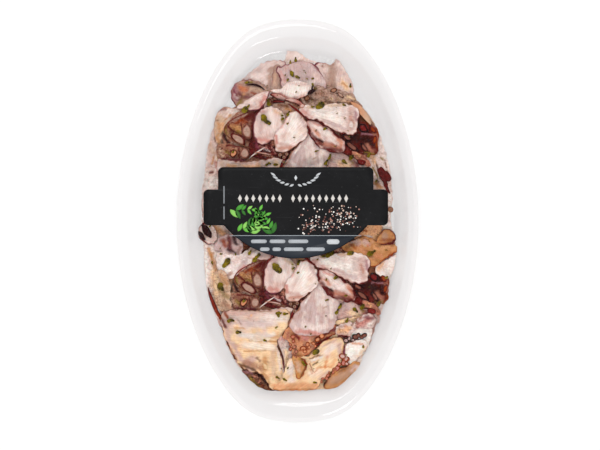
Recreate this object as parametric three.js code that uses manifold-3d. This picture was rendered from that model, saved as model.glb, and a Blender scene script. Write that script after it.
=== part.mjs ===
// A sealed oval tray of thinly sliced cooked octopus, lying flat.
// Millimetres, +Z up. The origin is the middle of the tray's underside, +Y runs along the tray.
//
// Four solids: the thermoformed tray, the heap of slices in it, the lid film sealed on its flange
// and the label stuck on the film.
import * as THREE from "three";
import { mergeVertices } from "three/addons/utils/BufferGeometryUtils.js";
import Module from "manifold-3d";

// ---- Driving dimensions -------------------------------------------------------------------

const PACK = { length: 210, width: 126 };
const SHOULDER = { out: 2.1, shift: -1.6 }; // how much fuller than an ellipse the outline is
const WALL = 0.6; // sheet thickness of the formed tray
const DEPTH = 17; // from the underside of the floor to the top of the flange
const LIP = { width: 2.4, drop: 1.6 }; // the flange's edge, turned down all round
const MOUTH = { side: 5.9, end: 9.6, chord: -94.2 }; // how far inside the rim the well begins
const FLOOR = { side: 9.6, end: 13.8, chord: -90.4 }; // the same for the well's floor
const CHORD_BLEND = 3.2; // how gently the straight end wall turns into the side walls
const FLOOR_ROUND = 2.6; // radius between wall and floor
const FILM = 0.2;
const LABEL = 0.3;
const HEAP_GAP = 0.35; // between the food and the walls
const HEAP_TOP = DEPTH - 0.6; // the film presses the highest slices flat here
const CELL = 1.5; // grid of the height field that the slices are laid on

const FLANGE = { side: LIP.width, end: LIP.width, chord: -PACK.length };
const RIM = { side: 0, end: 0, chord: -PACK.length };

// ---- Oval outlines ------------------------------------------------------------------------

const halfWidth = PACK.width / 2;
const halfLength = PACK.length / 2;

// Point of the outline at a place from 0 to 1 round it, moved inwards by the inset. The outline
// is given by its support function: the distance from the centre to the tangent line at each
// normal angle, which is an ellipse's plus a term that fills out the four shoulders.
function ovalPoint(place, { side, end, chord }) {
  const t = place * 2 * Math.PI;
  const normal = Math.atan2(halfWidth * Math.sin(t), halfLength * Math.cos(t));
  const c = Math.cos(normal);
  const s = Math.sin(normal);
  const twice = 2 * s * c;
  const ellipse = Math.hypot(halfWidth * c, halfLength * s);
  const { out, shift } = SHOULDER;
  const fill = out + shift * (c * c - s * s);
  const reach = ellipse + fill * twice ** 2 - side - (end - side) * s * s;
  const slope =
    ((halfLength ** 2 - halfWidth ** 2) * s * c) / ellipse +
    4 * fill * twice * (c * c - s * s) -
    2 * shift * twice ** 3 -
    (end - side) * twice;
  return [reach * c - slope * s, softMax(reach * s + slope * c, chord, CHORD_BLEND)];
}

// The larger of two numbers, with a rounded turn where they are nearly equal.
function softMax(a, b, blend) {
  const d = Math.max(blend - Math.abs(a - b), 0) / blend;
  return Math.max(a, b) + (blend * d * d) / 4;
}

const places = (count) => Array.from({ length: count }, (_, i) => i / count);
const FINE = places(60);
const COARSE = places(32);

const ring = (round, inset, z) => round.map((place) => [...ovalPoint(place, inset), z]);

const grown = (inset, by) => ({
  side: inset.side - by,
  end: inset.end - by,
  chord: inset.chord - by,
});

// ---- Meshes -------------------------------------------------------------------------------

// A closed skin over rings of equal length, with a point at each end.
function loft(rings, firstPole, lastPole) {
  const n = rings[0].length;
  const points = [...rings.flat(), firstPole, lastPole];
  const faces = [];
  for (let k = 0; k + 1 < rings.length; k++) {
    for (let i = 0; i < n; i++) {
      const a = k * n + i;
      const b = k * n + ((i + 1) % n);
      faces.push(a, b, b + n, a, b + n, a + n);
    }
  }
  const first = rings.length * n;
  const base = (rings.length - 1) * n;
  for (let i = 0; i < n; i++) {
    const j = (i + 1) % n;
    faces.push(first, j, i);
    faces.push(first + 1, base + i, base + j);
  }
  const geometry = new THREE.BufferGeometry();
  geometry.setAttribute("position", new THREE.Float32BufferAttribute(points.flat(), 3));
  geometry.setIndex(faces);
  return geometry;
}

const wasm = await Module();
wasm.setup();

function toSolid(geometry) {
  const bare = geometry.clone();
  bare.deleteAttribute("normal");
  bare.deleteAttribute("uv");
  const merged = mergeVertices(bare, 1e-4);
  return new wasm.Manifold(
    new wasm.Mesh({
      numProp: 3,
      vertProperties: new Float32Array(merged.attributes.position.array),
      triVerts: new Uint32Array(merged.index.array),
    }),
  );
}

function toGeometry(solid) {
  const mesh = solid.getMesh();
  const geometry = new THREE.BufferGeometry();
  geometry.setAttribute("position", new THREE.BufferAttribute(mesh.vertProperties, 3));
  geometry.setIndex(new THREE.BufferAttribute(mesh.triVerts, 1));
  return geometry;
}

// ---- Tray ---------------------------------------------------------------------------------

// Rings up one face of the well, from the floor's edge to the mouth. `out` moves the face
// outwards by the sheet's thickness, and `bottom` is the height of the floor on that face.
function wellRings(out, bottom, top) {
  const floor = grown(FLOOR, out);
  const mouth = grown(MOUTH, out);
  const round = FLOOR_ROUND + out;
  const turn = [0, 0.35, 0.7, 1].map((t) => {
    const angle = (t * Math.PI) / 2;
    return ring(
      FINE,
      grown(floor, -round * (1 - Math.sin(angle)) * 0.9),
      bottom + round * (1 - Math.cos(angle)),
    );
  });
  return [...turn, ring(FINE, mouth, top)];
}

function tray() {
  const flangeBottom = DEPTH - WALL;
  const outside = wellRings(WALL, 0, flangeBottom - 0.8);
  const flangeUnder = [
    ring(FINE, grown(MOUTH, 1.3), flangeBottom),
    ring(FINE, grown(FLANGE, -0.3), flangeBottom),
    ring(FINE, RIM, DEPTH - LIP.drop - WALL),
  ];
  const flangeTop = [
    ring(FINE, RIM, DEPTH - LIP.drop),
    ring(FINE, FLANGE, DEPTH),
    ring(FINE, grown(MOUTH, 0.8), DEPTH),
  ];
  const inside = wellRings(0, WALL, DEPTH - 0.8).reverse();
  return loft([...outside, ...flangeUnder, ...flangeTop, ...inside], [0, 0, 0], [0, 0, WALL]);
}

// ---- Lid film and label -------------------------------------------------------------------

function plate(rings) {
  const [low, high] = rings;
  return loft(rings, [0, 0, low[0][2]], [0, 0, high[0][2]]);
}

const film = () => plate([ring(FINE, FLANGE, DEPTH), ring(FINE, FLANGE, DEPTH + FILM)]);

const LABEL_SHAPE = {
  middle: -0.9, // X of its upright axis
  top: 28,
  bodyHalf: 40.4, // half width of the upper block
  wingHalf: 48, // half width across the two side tabs
  wingTop: 16.4,
  wingBottom: -2.3,
  bowlHalf: 37.4, // half width where the round lower edge starts
  bottom: -19.5,
  corner: 2.6,
};

// Outline of the label: a block with rounded corners, a tab on each side and a bowl below.
function labelShape() {
  const { middle, top, bodyHalf, wingHalf, wingTop, wingBottom, bowlHalf, bottom, corner } =
    LABEL_SHAPE;
  const drop = wingBottom - bottom;
  const bowlRadius = (bowlHalf ** 2 + drop ** 2) / (2 * drop);
  const bowlAngle = Math.asin(bowlHalf / bowlRadius);
  const shape = new THREE.Shape();
  const down = -Math.PI / 2;
  shape.absarc(middle, bottom + bowlRadius, bowlRadius, down - bowlAngle, down + bowlAngle, false);
  const right = middle + wingHalf - corner;
  shape.absarc(right, wingBottom + corner, corner, down, 0, false);
  shape.absarc(right, wingTop - corner, corner, 0, -down, false);
  shape.lineTo(middle + bodyHalf, wingTop);
  shape.absarc(middle + bodyHalf - corner, top - corner, corner, 0, -down, false);
  shape.absarc(middle - bodyHalf + corner, top - corner, corner, -down, Math.PI, false);
  shape.lineTo(middle - bodyHalf, wingTop);
  const left = middle - wingHalf + corner;
  shape.absarc(left, wingTop - corner, corner, -down, Math.PI, false);
  shape.absarc(left, wingBottom + corner, corner, Math.PI, Math.PI - down, false);
  return shape;
}

function label() {
  const options = { depth: LABEL, bevelEnabled: false, curveSegments: 5 };
  const geometry = new THREE.ExtrudeGeometry(labelShape(), options);
  return geometry.translate(0, 0, DEPTH + FILM);
}

// ---- Slices -------------------------------------------------------------------------------

// One slice lies along a spine from `from` to `to`, bowed sideways by `bend`, and is as wide as
// `widths` says at four places along it.
const slice = (from, to, bend, widths, thick = 1.8) => ({ from, to, bend, widths, thick });

// Slices in the order in which they are laid. The group lies in the tray twice, once in each half.
const GROUP_PLACES = [
  [0, 0],
  [5.5, -78],
];
const GROUP = [
  slice([-42, 54], [-30, 59], 1, [8, 12, 11, 6]),
  slice([-47, 45], [-43, 28], 0, [7, 9, 9, 8]),
  slice([-34, 53], [-27, 36], 0, [9, 14, 14, 9]),
  slice([-29, 59], [-24, 37], -11, [2, 4, 4, 3], 2.6),
  slice([-17, 62], [-22, 41], -4, [4, 6, 6, 4], 2.6),
  slice([-38, 31], [-6, 33], -1, [6, 8, 8, 5]),
  slice([-31, 57.5], [-15.5, 66.5], 0, [3, 7, 8, 4]),
  slice([5, 45], [0, 20], 2, [7, 16, 22, 21]),
  slice([15, 34], [34, 27], 1, [10, 12, 12, 9]),
  slice([-19, 41], [-14, 59], -1, [9, 16, 17, 11], 2.4),
  slice([-9, 36], [0, 57], -2, [10, 17, 18, 10], 2.4),
  slice([7, 50], [24, 38], 1, [7, 11, 11, 7], 2.4),
  slice([-2, 60.5], [34, 53], -2, [5, 14, 18, 15], 2.2),
  slice([31, 61], [38, 47], 3, [3, 5, 5, 4], 2.6),
];

const TOP_END = [
  slice([4, 79], [-5, 90], 1, [17, 14, 9, 3]),
  slice([21, 86], [22, 66], -1, [6, 15, 17, 15]),
  slice([-30, 71], [-8, 80], 0, [5, 11, 14, 12]),
  slice([-8, 82], [-13, 68], 0, [4, 6, 6, 4]),
  slice([-34, 66], [-16, 68], -1, [9, 12, 11, 6], 2.6),
  slice([0.5, 83.5], [0, 63], 0, [19, 24, 24, 15], 2.2),
  slice([-14, 66], [9, 69], 1, [4, 9, 11, 9], 2.4),
  slice([5, 65], [27, 66], 1, [6, 9, 9, 7], 2.6),
];

const LOW_UNDER = [
  slice([33, -12], [51, -14], 1, [9, 13, 13, 10]),
  slice([41, -24], [51, -19], -1, [8, 13, 14, 11]),
  slice([-42, -9], [-31, -14], 1, [7, 10, 9, 6], 2.4),
  slice([-47, -13], [-44, -26], 0, [4, 6, 6, 4]),
  slice([-46, -35], [-39, -55], 1, [3, 4, 4, 3], 2.4),
];
const LOW_END = [
  slice([-3, -66], [18, -60], -1, [10, 14, 13, 7], 2.4),
  slice([-37, -57], [-5, -51], -2, [9, 17, 18, 13]),
  slice([-29, -61], [-14, -89], 4, [24, 28, 23, 14], 2.4),
  slice([-10, -64], [-7, -82], -1, [6, 10, 9, 5], 2.4),
  slice([-15, -84], [15, -79], -3, [8, 9, 9, 7], 2.4),
  slice([8, -79], [23, -63], -2, [9, 15, 16, 10], 2.4),
  slice([26, -74], [35, -63], -1, [8, 12, 11, 5], 2.4),
  slice([16, -87], [33, -76], 2, [8, 14, 14, 8]),
  slice([19, -54], [37, -51], 2, [7, 10, 10, 6], 2.6),
  slice([0, -70], [2, -83], 0, [5, 7, 6, 3], 2.6),
];

const SIDES = [
  slice([-48, 22], [-44, 2], 0, [8, 10, 10, 8]),
  slice([43.5, 29], [49, 2], 1, [9, 11, 11, 9]),
];

// Slices below the label, in rows across the tray.
const FILL = { rows: 3, pitch: 16, perRow: 4, length: 27, width: 17, middle: 5, half: 31 };

// Suckers and knotted arm ends: [x, y, radius], in the same two places as the group.
const GROUP_KNOBS = [
  [-26, 47, 3],
  [-30, 42, 3],
  [-25, 35, 2.8],
  [-32, 34, 2.6],
  [28, 43, 3],
  [29, 37, 3],
  [33, 42, 3],
  [36, 49, 4],
  [40, 45, 3],
  [35, 35, 2.6],
];

const LONE_KNOBS = [
  [-49, -6, 4.5],
  [46.5, -8, 4.6],
  [21, -59, 2.6],
  [25, -62, 2.2],
  [30, -62, 2.2],
  [28, -71, 2],
  [26, -76, 2],
  [21, -81, 2],
  [2, 66, 2.2],
  [15, 68, 2.4],
];

// Herb flakes: [x, y, length].
const GROUP_FLAKES = [
  [-26, 59, 3],
  [-16, 53.5, 4.6],
  [11, 60.5, 4.6],
  [10, 36.5, 2],
  [16, 32, 3.6],
  [25, 31, 2.4],
  [28, 33, 2.4],
  [14, 48, 1.6],
  [-5, 51, 1.6],
  [37, 35, 2.4],
  [-15, 29.5, 2.6],
  [-34, 36, 2],
];
const LONE_FLAKES = [
  [-1, 85, 2],
  [-4, 84, 2],
  [0, 76, 3],
  [-5, 74, 2],
  [8, 74.5, 1.6],
  [-15, 62, 3],
  [28, 71, 2.4],
  [-37, -22, 4.4],
  [-35, -52.5, 3],
  [-31, -58.5, 2.6],
  [-10, -49, 2.6],
  [-6.5, -48.5, 2],
  [-11, -55.5, 2],
  [-17, -62.5, 2.2],
  [-10.5, -82.5, 2.2],
  [-6.5, -83, 2.4],
  [10, -68.5, 3.6],
  [3.5, -74, 3],
  [9, -84.5, 2.4],
  [26, -52, 2.6],
  [38.5, -16, 4],
  [46.5, -15.5, 1.8],
  [24, -85, 2.2],
  [34.5, -66, 2],
];

// ---- Laying the slices --------------------------------------------------------------------

// Smooth curve through equally spaced values, at t from 0 to 1.
function along(values, t) {
  const place = Math.min(Math.max(t, 0), 1) * (values.length - 1);
  const i = Math.min(Math.floor(place), values.length - 2);
  const f = place - i;
  const at = (k) => values[Math.min(Math.max(k, 0), values.length - 1)];
  const [a, b, c, d] = [at(i - 1), at(i), at(i + 1), at(i + 2)];
  return b + (f * (c - a + f * (2 * a - 5 * b + 4 * c - d + f * (3 * (b - c) + d - a)))) / 2;
}

// Place on the slice: u runs along the spine from 0 to 1 and v across it from -1 to 1.
function onSlice({ from, to, bend, widths }, u, v) {
  const dx = to[0] - from[0];
  const dy = to[1] - from[1];
  const length = Math.hypot(dx, dy);
  const bow = bend * 4 * u * (1 - u);
  const lean = (bend * 4 * (1 - 2 * u)) / length;
  const scale = 1 / Math.hypot(1, lean);
  const across = [
    (-(dy + lean * dx) / length) * scale,
    ((dx - lean * dy) / length) * scale,
  ];
  const roundEnds = (1 - Math.abs(2 * u - 1) ** 4) ** 0.5;
  const half = (along(widths, u) / 2) * roundEnds * v;
  return [
    from[0] + dx * u - (dy / length) * bow + across[0] * half,
    from[1] + dy * u + (dx / length) * bow + across[1] * half,
  ];
}

const columns = Math.ceil(PACK.width / CELL) + 1;
const rows = Math.ceil(PACK.length / CELL) + 1;
const cellOf = (x, y) => {
  const i = Math.round((x + halfWidth) / CELL);
  const j = Math.round((y + halfLength) / CELL);
  return Math.min(Math.max(j, 0), rows - 1) * columns + Math.min(Math.max(i, 0), columns - 1);
};

// The core under the slices: a low dome, clear of the walls and highest along the middle.
const CORE = { insetX: 13, insetTop: 23, insetLow: 16, crown: 7.4, power: 2.6 };

function coreHeight(x, y) {
  const reach = halfLength - (y > 0 ? CORE.insetTop : CORE.insetLow);
  const r = Math.hypot(x / (halfWidth - CORE.insetX), y / reach);
  return WALL + CORE.crown * Math.max(1 - r ** CORE.power, 0) ** 0.6;
}

const height = new Float32Array(columns * rows);
for (let j = 0; j < rows; j++) {
  for (let i = 0; i < columns; i++) {
    height[j * columns + i] = coreHeight(i * CELL - halfWidth, j * CELL - halfLength);
  }
}

// Replaces each value of a small grid by what `rule` makes of it and its neighbours.
function eachNeighbourhood(grid, rule) {
  return grid.map((row, i) =>
    row.map((_, j) => {
      const near = [];
      for (let a = Math.max(i - 1, 0); a <= Math.min(i + 1, grid.length - 1); a++) {
        for (let b = Math.max(j - 1, 0); b <= Math.min(j + 1, row.length - 1); b++) {
          near.push(grid[a][b]);
        }
      }
      return rule(near);
    }),
  );
}

const highest = (values) => Math.max(...values);
const mean = (values) => values.reduce((a, b) => a + b) / values.length;

const SAMPLES = { u: 25, v: 13 };
const SETTLE = 0.25; // how far a slice sinks into what it lies on

// Lays a slice on the height field: returns its middle height at (u, v), and raises the field.
function lay(piece) {
  const cells = Array.from({ length: SAMPLES.u }, (_, i) =>
    Array.from({ length: SAMPLES.v }, (_, j) =>
      cellOf(...onSlice(piece, i / (SAMPLES.u - 1), (2 * j) / (SAMPLES.v - 1) - 1)),
    ),
  );
  let bed = cells.map((row) => row.map((cell) => height[cell]));
  bed = eachNeighbourhood(bed, highest);
  for (let pass = 0; pass < 3; pass++) bed = eachNeighbourhood(bed, mean);
  const top = HEAP_TOP - piece.thick / 2;
  const middle = bed.map((row) => row.map((z) => Math.min(z + piece.thick / 2 - SETTLE, top)));
  cells.forEach((row, i) =>
    row.forEach((cell, j) => {
      height[cell] = Math.max(height[cell], middle[i][j] + piece.thick / 2);
    }),
  );
  return (u, v) => {
    const i = Math.round(u * (SAMPLES.u - 1));
    const j = Math.round(((v + 1) / 2) * (SAMPLES.v - 1));
    return middle[i][j];
  };
}

// Section of a slice, right round from one edge: [across, up]. Its keel reaches into what lies
// below, so that the slices hold together as one heap.
const SECTION = [
  [-1, 0],
  [-0.7, 0.9],
  [0.1, 1],
  [0.75, 0.85],
  [1, 0],
  [0, -2.6],
];
const STATIONS = { long: [0.05, 0.27, 0.5, 0.73, 0.95], short: [0.06, 0.35, 0.65, 0.94] };
const SHORT = 19; // slices up to this long have fewer stations

function sliceSolid(piece) {
  const middle = lay(piece);
  const point = (u, v, up) => [...onSlice(piece, u, v), middle(u, v) + (up * piece.thick) / 2];
  const length = Math.hypot(piece.to[0] - piece.from[0], piece.to[1] - piece.from[1]);
  const stations = length < SHORT ? STATIONS.short : STATIONS.long;
  const rings = stations.map((u) => SECTION.map(([v, up]) => point(u, v, up)).reverse());
  return toSolid(loft(rings, point(0, 0, 0), point(1, 0, 0)));
}

const KNOB_FLATNESS = 0.55;

// A low dome with five sides that sits half sunk on the heap.
function knobSolid([x, y, radius]) {
  const cell = cellOf(x, y);
  const rise = radius * KNOB_FLATNESS;
  const z = Math.min(height[cell], HEAP_TOP - rise);
  const geometry = new THREE.SphereGeometry(radius, 5, 3);
  geometry.rotateX(Math.PI / 2);
  geometry.scale(1, 1, KNOB_FLATNESS);
  geometry.translate(x, y, z);
  height[cell] = Math.max(height[cell], z + rise);
  return toSolid(geometry);
}

// ---- Herb flakes --------------------------------------------------------------------------

const FLAKE = { width: 0.5, thick: 0.7 }; // width as a share of the length
const GOLDEN_ANGLE = 2.4; // turns each flake well away from the one before

function flakeSolid([x, y, length], index) {
  const geometry = new THREE.SphereGeometry(1, 5, 2);
  geometry.rotateX(Math.PI / 2);
  geometry.scale(length / 2, (length * FLAKE.width) / 2, FLAKE.thick / 2);
  geometry.rotateZ(index * GOLDEN_ANGLE);
  const z = Math.min(height[cellOf(x, y)] + 0.1, HEAP_TOP - FLAKE.thick / 2);
  return toSolid(geometry.translate(x, y, z));
}

// ---- Heap ---------------------------------------------------------------------------------

// The well less the gap that the food keeps to its walls.
function wellSpace() {
  const foot = ring(COARSE, grown(FLOOR, -HEAP_GAP - 2.4), WALL);
  const low = ring(COARSE, grown(FLOOR, -HEAP_GAP - 0.2), WALL + FLOOR_ROUND);
  const mouth = ring(COARSE, grown(MOUTH, -HEAP_GAP - 0.2), DEPTH - 0.3);
  return toSolid(loft([foot, low, mouth], [0, 0, WALL], [0, 0, DEPTH - 0.3]));
}

function coreSolid() {
  const dome = [1, 0.93, 0.8, 0.6, 0.3].map((share) =>
    COARSE.map((place) => {
      const angle = place * 2 * Math.PI;
      const x = Math.cos(angle) * (halfWidth - CORE.insetX) * share;
      const inset = Math.sin(angle) > 0 ? CORE.insetTop : CORE.insetLow;
      const y = Math.sin(angle) * (halfLength - inset) * share;
      return [x, y, share < 1 ? coreHeight(x, y) : WALL + 0.4];
    }),
  );
  const foot = dome[0].map(([x, y]) => [x, y, WALL]);
  return toSolid(loft([foot, ...dome], [0, 0, WALL], [0, 0, coreHeight(0, 0)]));
}

// The largest body of a solid. Scraps that touch nothing are dropped and sealed hollows filled.
function outerBody(solid) {
  return solid.decompose().reduce((a, b) => (a.volume() > b.volume() ? a : b));
}

const moved = (piece, [dx, dy]) => ({
  ...piece,
  from: [piece.from[0] + dx, piece.from[1] + dy],
  to: [piece.to[0] + dx, piece.to[1] + dy],
});

const inBothPlaces = (spots) =>
  GROUP_PLACES.flatMap(([dx, dy]) => spots.map(([x, y, size]) => [x + dx, y + dy, size]));

// The slices in the middle of the tray, each turned its own way.
function fillSlices() {
  const slices = [];
  for (let row = 0; row < FILL.rows; row++) {
    const y = (row - (FILL.rows - 1) / 2) * FILL.pitch + FILL.middle;
    for (let k = 0; k < FILL.perRow; k++) {
      const x = ((2 * k) / (FILL.perRow - 1) - 1) * FILL.half;
      const turn = (row * FILL.perRow + k) * GOLDEN_ANGLE;
      const dx = (Math.cos(turn) * FILL.length) / 2;
      const dy = (Math.sin(turn) * FILL.length) / 2;
      const width = FILL.width * (0.9 + 0.2 * Math.sin(turn * 3));
      slices.push(slice([x - dx, y - dy], [x + dx, y + dy], 1, [9, width, width, 8]));
    }
  }
  return slices;
}

function heap() {
  const laid = [
    ...fillSlices(),
    ...SIDES,
    ...TOP_END,
    ...LOW_UNDER,
    ...GROUP_PLACES.flatMap((place) => GROUP.map((piece) => moved(piece, place))),
    ...LOW_END,
  ];
  let solid = coreSolid();
  for (const piece of laid) solid = solid.add(sliceSolid(piece));
  for (const knob of [...inBothPlaces(GROUP_KNOBS), ...LONE_KNOBS]) solid = solid.add(knobSolid(knob));
  const flakes = [...inBothPlaces(GROUP_FLAKES), ...LONE_FLAKES];
  for (const flake of flakes.map(flakeSolid)) solid = solid.add(flake);
  return toGeometry(outerBody(solid.intersect(wellSpace())));
}

// ---- The pack -----------------------------------------------------------------------------

const MATERIALS = {
  clear: { color: 0xe9ecee, roughness: 0.12, metalness: 0, transparent: true, opacity: 0.35 },
  flesh: { color: 0xe6cfc4, roughness: 0.3, metalness: 0 },
  film: { color: 0xf4f6f7, roughness: 0.05, metalness: 0, transparent: true, opacity: 0.15 },
  print: { color: 0x17181b, roughness: 0.45, metalness: 0 },
};

function part(name, geometry, material) {
  const mesh = new THREE.Mesh(geometry, new THREE.MeshStandardMaterial(material));
  mesh.name = name;
  return mesh;
}

const pack = new THREE.Group();
pack.add(
  part("tray", tray(), MATERIALS.clear),
  part("octopus_slices", heap(), MATERIALS.flesh),
  part("lid_film", film(), MATERIALS.film),
  part("label", label(), MATERIALS.print),
);

export default pack;
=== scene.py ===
# %% [markdown]
# # A sealed tray of sliced cooked octopus
#
# The pack is a clear oval tray, a heap of thin slices with herbs, a lid film and a dark label. The
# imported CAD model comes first, because it fixes every size and place. Each of its four solids is
# then replaced by a finer surface, worked out as whole numpy arrays, with a finish of its own.

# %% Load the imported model
import math

import bpy
import numpy as np
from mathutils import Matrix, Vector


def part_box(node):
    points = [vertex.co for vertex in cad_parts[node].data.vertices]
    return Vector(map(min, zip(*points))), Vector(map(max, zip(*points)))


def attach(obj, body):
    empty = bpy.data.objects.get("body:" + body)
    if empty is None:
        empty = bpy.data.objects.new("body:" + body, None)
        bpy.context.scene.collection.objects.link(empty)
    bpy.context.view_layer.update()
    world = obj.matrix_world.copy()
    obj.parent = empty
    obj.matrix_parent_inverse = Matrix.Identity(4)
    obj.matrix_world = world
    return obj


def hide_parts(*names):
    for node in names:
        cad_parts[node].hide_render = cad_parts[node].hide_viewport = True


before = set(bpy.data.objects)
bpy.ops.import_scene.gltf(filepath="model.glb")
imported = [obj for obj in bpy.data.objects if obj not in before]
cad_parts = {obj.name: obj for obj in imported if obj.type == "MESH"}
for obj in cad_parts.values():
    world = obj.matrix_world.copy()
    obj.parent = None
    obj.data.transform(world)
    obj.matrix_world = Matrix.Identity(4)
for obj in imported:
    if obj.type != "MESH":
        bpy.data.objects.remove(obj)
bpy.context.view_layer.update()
print("nodes:", ", ".join(sorted(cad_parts)))

# %% [markdown]
# ## Sizes
#
# The shapes below are worked out in millimetres and turned into metres when their mesh is made.
# The outer sizes come from the frame, so the looks can't drift away from the CAD model.

# %% Sizes
MM = 0.001
tray_low, tray_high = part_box("tray")
label_low, label_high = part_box("label")
PACK_WIDTH = (tray_high.x - tray_low.x) / MM
PACK_LENGTH = (tray_high.y - tray_low.y) / MM
DEPTH = tray_high.z / MM
FILM_TOP = label_low.z / MM
LABEL_TOP = label_high.z / MM
WALL = 0.6  # sheet thickness of the formed tray
LIP_WIDTH = 2.4
LIP_DROP = 1.6
FLOOR_ROUND = 2.6  # radius between wall and floor
print(f"pack {PACK_WIDTH:.0f} x {PACK_LENGTH:.0f} mm, flange at {DEPTH:.1f}, film top {FILM_TOP:.1f}")

# %% [markdown]
# ## Camera
#
# The pack lies flat and is looked at from straight above. A long lens far away keeps the walls
# from leaning outwards, as a product photographer would. The view's width at the height of the
# film sets the distance.

# %% Camera
VIEW_WIDTH = 312.0 * MM
VIEW_MIDDLE = (1.3 * MM, -2.1 * MM)
LENS = 135.0
SENSOR = 36.0


def placed(name, data):
    """A new object of the scene, at the origin."""
    item = bpy.data.objects.new(name, data)
    bpy.context.scene.collection.objects.link(item)
    return item


camera_data = bpy.data.cameras.new("camera")
camera_data.lens = LENS
camera_data.sensor_width = SENSOR
camera_data.clip_end = 20
camera = placed("camera", camera_data)
camera.location = (*VIEW_MIDDLE, DEPTH * MM + VIEW_WIDTH * LENS / SENSOR)
bpy.context.scene.camera = camera
print(f"camera {camera.location.z:.2f} m above the floor")

# %% [markdown]
# ## Node helpers
#
# Materials are small networks. `wire` adds one node, sets its values and joins its inputs in one
# call, so that a network reads like a list of steps. `tint` turns a screen colour into the linear
# numbers that shaders work with. The other helpers are steps that several finishes share.

# %% Colours and nodes
PRINCIPLED = "ShaderNodeBsdfPrincipled"


def tint(code):
    """Linear red, green and blue of a six-digit screen colour, by the sRGB curve."""
    share = np.array([int(code[i : i + 2], 16) for i in (0, 2, 4)]) / 255
    return np.where(share <= 0.04045, share / 12.92, ((share + 0.055) / 1.055) ** 2.4)


def opaque(code):
    """The same colour as a tuple with full alpha, for a shader's socket."""
    return (*tint(code), 1.0)


def wire(tree, kind, inputs=None, **settings):
    """A new node in a tree. An input's value is a socket to join or a plain value to set."""
    node = tree.nodes.new(kind)
    for name, value in settings.items():
        setattr(node, name, value)
    for name, value in (inputs or {}).items():
        if isinstance(value, bpy.types.NodeSocket):
            tree.links.new(value, node.inputs[name])
        else:
            node.inputs[name].default_value = value
    return node


def new_material(name):
    """An empty material and its node tree."""
    material = bpy.data.materials.new(name)
    material.use_nodes = True
    material.node_tree.nodes.clear()
    return material, material.node_tree


def finish_with(material, shader):
    """Joins a shader to the material's output."""
    wire(material.node_tree, "ShaderNodeOutputMaterial", {"Surface": shader.outputs[0]})
    return material


print("linear value of a middle grey:", tint("808080")[0].round(3))

# %% Steps that finishes share
def object_place(tree):
    """Coordinates fixed to the object, in metres."""
    return wire(tree, "ShaderNodeTexCoord").outputs["Object"]


def stretched(tree, vector, scale):
    """The same coordinates, stretched so that a pattern on them becomes longer one way."""
    inputs = {"Vector": vector, "Scale": scale}
    return wire(tree, "ShaderNodeMapping", inputs).outputs[0]


def noise(tree, vector, scale, detail=2.0, rough=0.5):
    """Cloudy noise from 0 to 1."""
    inputs = {"Vector": vector, "Scale": scale, "Detail": detail, "Roughness": rough}
    return wire(tree, "ShaderNodeTexNoise", inputs).outputs["Fac"]


def between(tree, value, low, high, to_low=0.0, to_high=1.0):
    """A value spread from low..high to another range, with soft ends."""
    inputs = {0: value, 1: low, 2: high, 3: to_low, 4: to_high}
    node = wire(tree, "ShaderNodeMapRange", inputs, interpolation_type="SMOOTHSTEP")
    return node.outputs[0]


def maths(tree, operation, *values):
    """What a Math node makes of its values."""
    return wire(tree, "ShaderNodeMath", dict(enumerate(values)), operation=operation).outputs[0]


def sum_of(tree, first, second, factor):
    """first + second * factor."""
    return maths(tree, "MULTIPLY_ADD", second, factor, first)


def blend_colours(tree, factor, first, second, way="MIX"):
    """Colour between two colours. On a Mix node, sockets 0, 6 and 7 are the colour ones."""
    inputs = {0: factor, 6: first, 7: second}
    return wire(tree, "ShaderNodeMix", inputs, data_type="RGBA", blend_type=way).outputs[2]


def times(tree, colour, red, green, blue):
    """A colour with each of its parts multiplied by a factor."""
    return blend_colours(tree, 1.0, colour, (red, green, blue, 1), "MULTIPLY")


def bumps(tree, relief, depth):
    """Normals tilted by a relief from 0 to 1, as if it were so many millimetres deep."""
    inputs = {"Height": relief, "Distance": depth * MM, "Strength": 1.0}
    return wire(tree, "ShaderNodeBump", inputs).outputs[0]


def mixed_shader(tree, factor, first, second):
    """One shader where the factor is 0, another where it is 1."""
    inputs = {0: factor, 1: first.outputs[0], 2: second.outputs[0]}
    return wire(tree, "ShaderNodeMixShader", inputs)


# %% [markdown]
# ## Floor
#
# The floor is pale and glows a little, as a light table does under clear packs, so that the shadows
# in the tray stay light. Its back is clear, so that the pack can also be looked at from below.

# %% Floor
FLOOR_HALF = 3.0
FLOOR_FINISH = {
    "Base Color": (0.5, 0.5, 0.5, 1),
    "Roughness": 0.9,
    "Specular IOR Level": 0.1,
    "Emission Color": (1, 1, 1, 1),
    "Emission Strength": 0.42,
}

floor_mesh = bpy.data.meshes.new("floor")
floor_corners = [(x * FLOOR_HALF, y * FLOOR_HALF, 0) for x, y in ((-1, -1), (1, -1), (1, 1), (-1, 1))]
floor_mesh.from_pydata(floor_corners, [], [(0, 1, 2, 3)])
floor = placed("floor", floor_mesh)
floor_paint, floor_tree = new_material("pale_floor")
from_below = wire(floor_tree, "ShaderNodeNewGeometry").outputs["Backfacing"]
front = wire(floor_tree, PRINCIPLED, FLOOR_FINISH)
back = wire(floor_tree, "ShaderNodeBsdfTransparent")
finish_with(floor_paint, mixed_shader(floor_tree, from_below, front, back))
floor_mesh.materials.append(floor_paint)
print(f"floor {2 * FLOOR_HALF:.0f} m wide")

# %% [markdown]
# ## Light
#
# Soft light comes from all round, and two square lamps shape the slices. The sky straight above is
# dimmer, because the film and the label are flat and would mirror a bright one as a grey veil.

# %% Light
SKY_SIDE = 0.82  # brightness near the horizon
SKY_TOP = 0.62  # brightness straight above
SKY_TURN = (0.72, 0.97)  # height of the direction where the one goes over into the other

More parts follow.
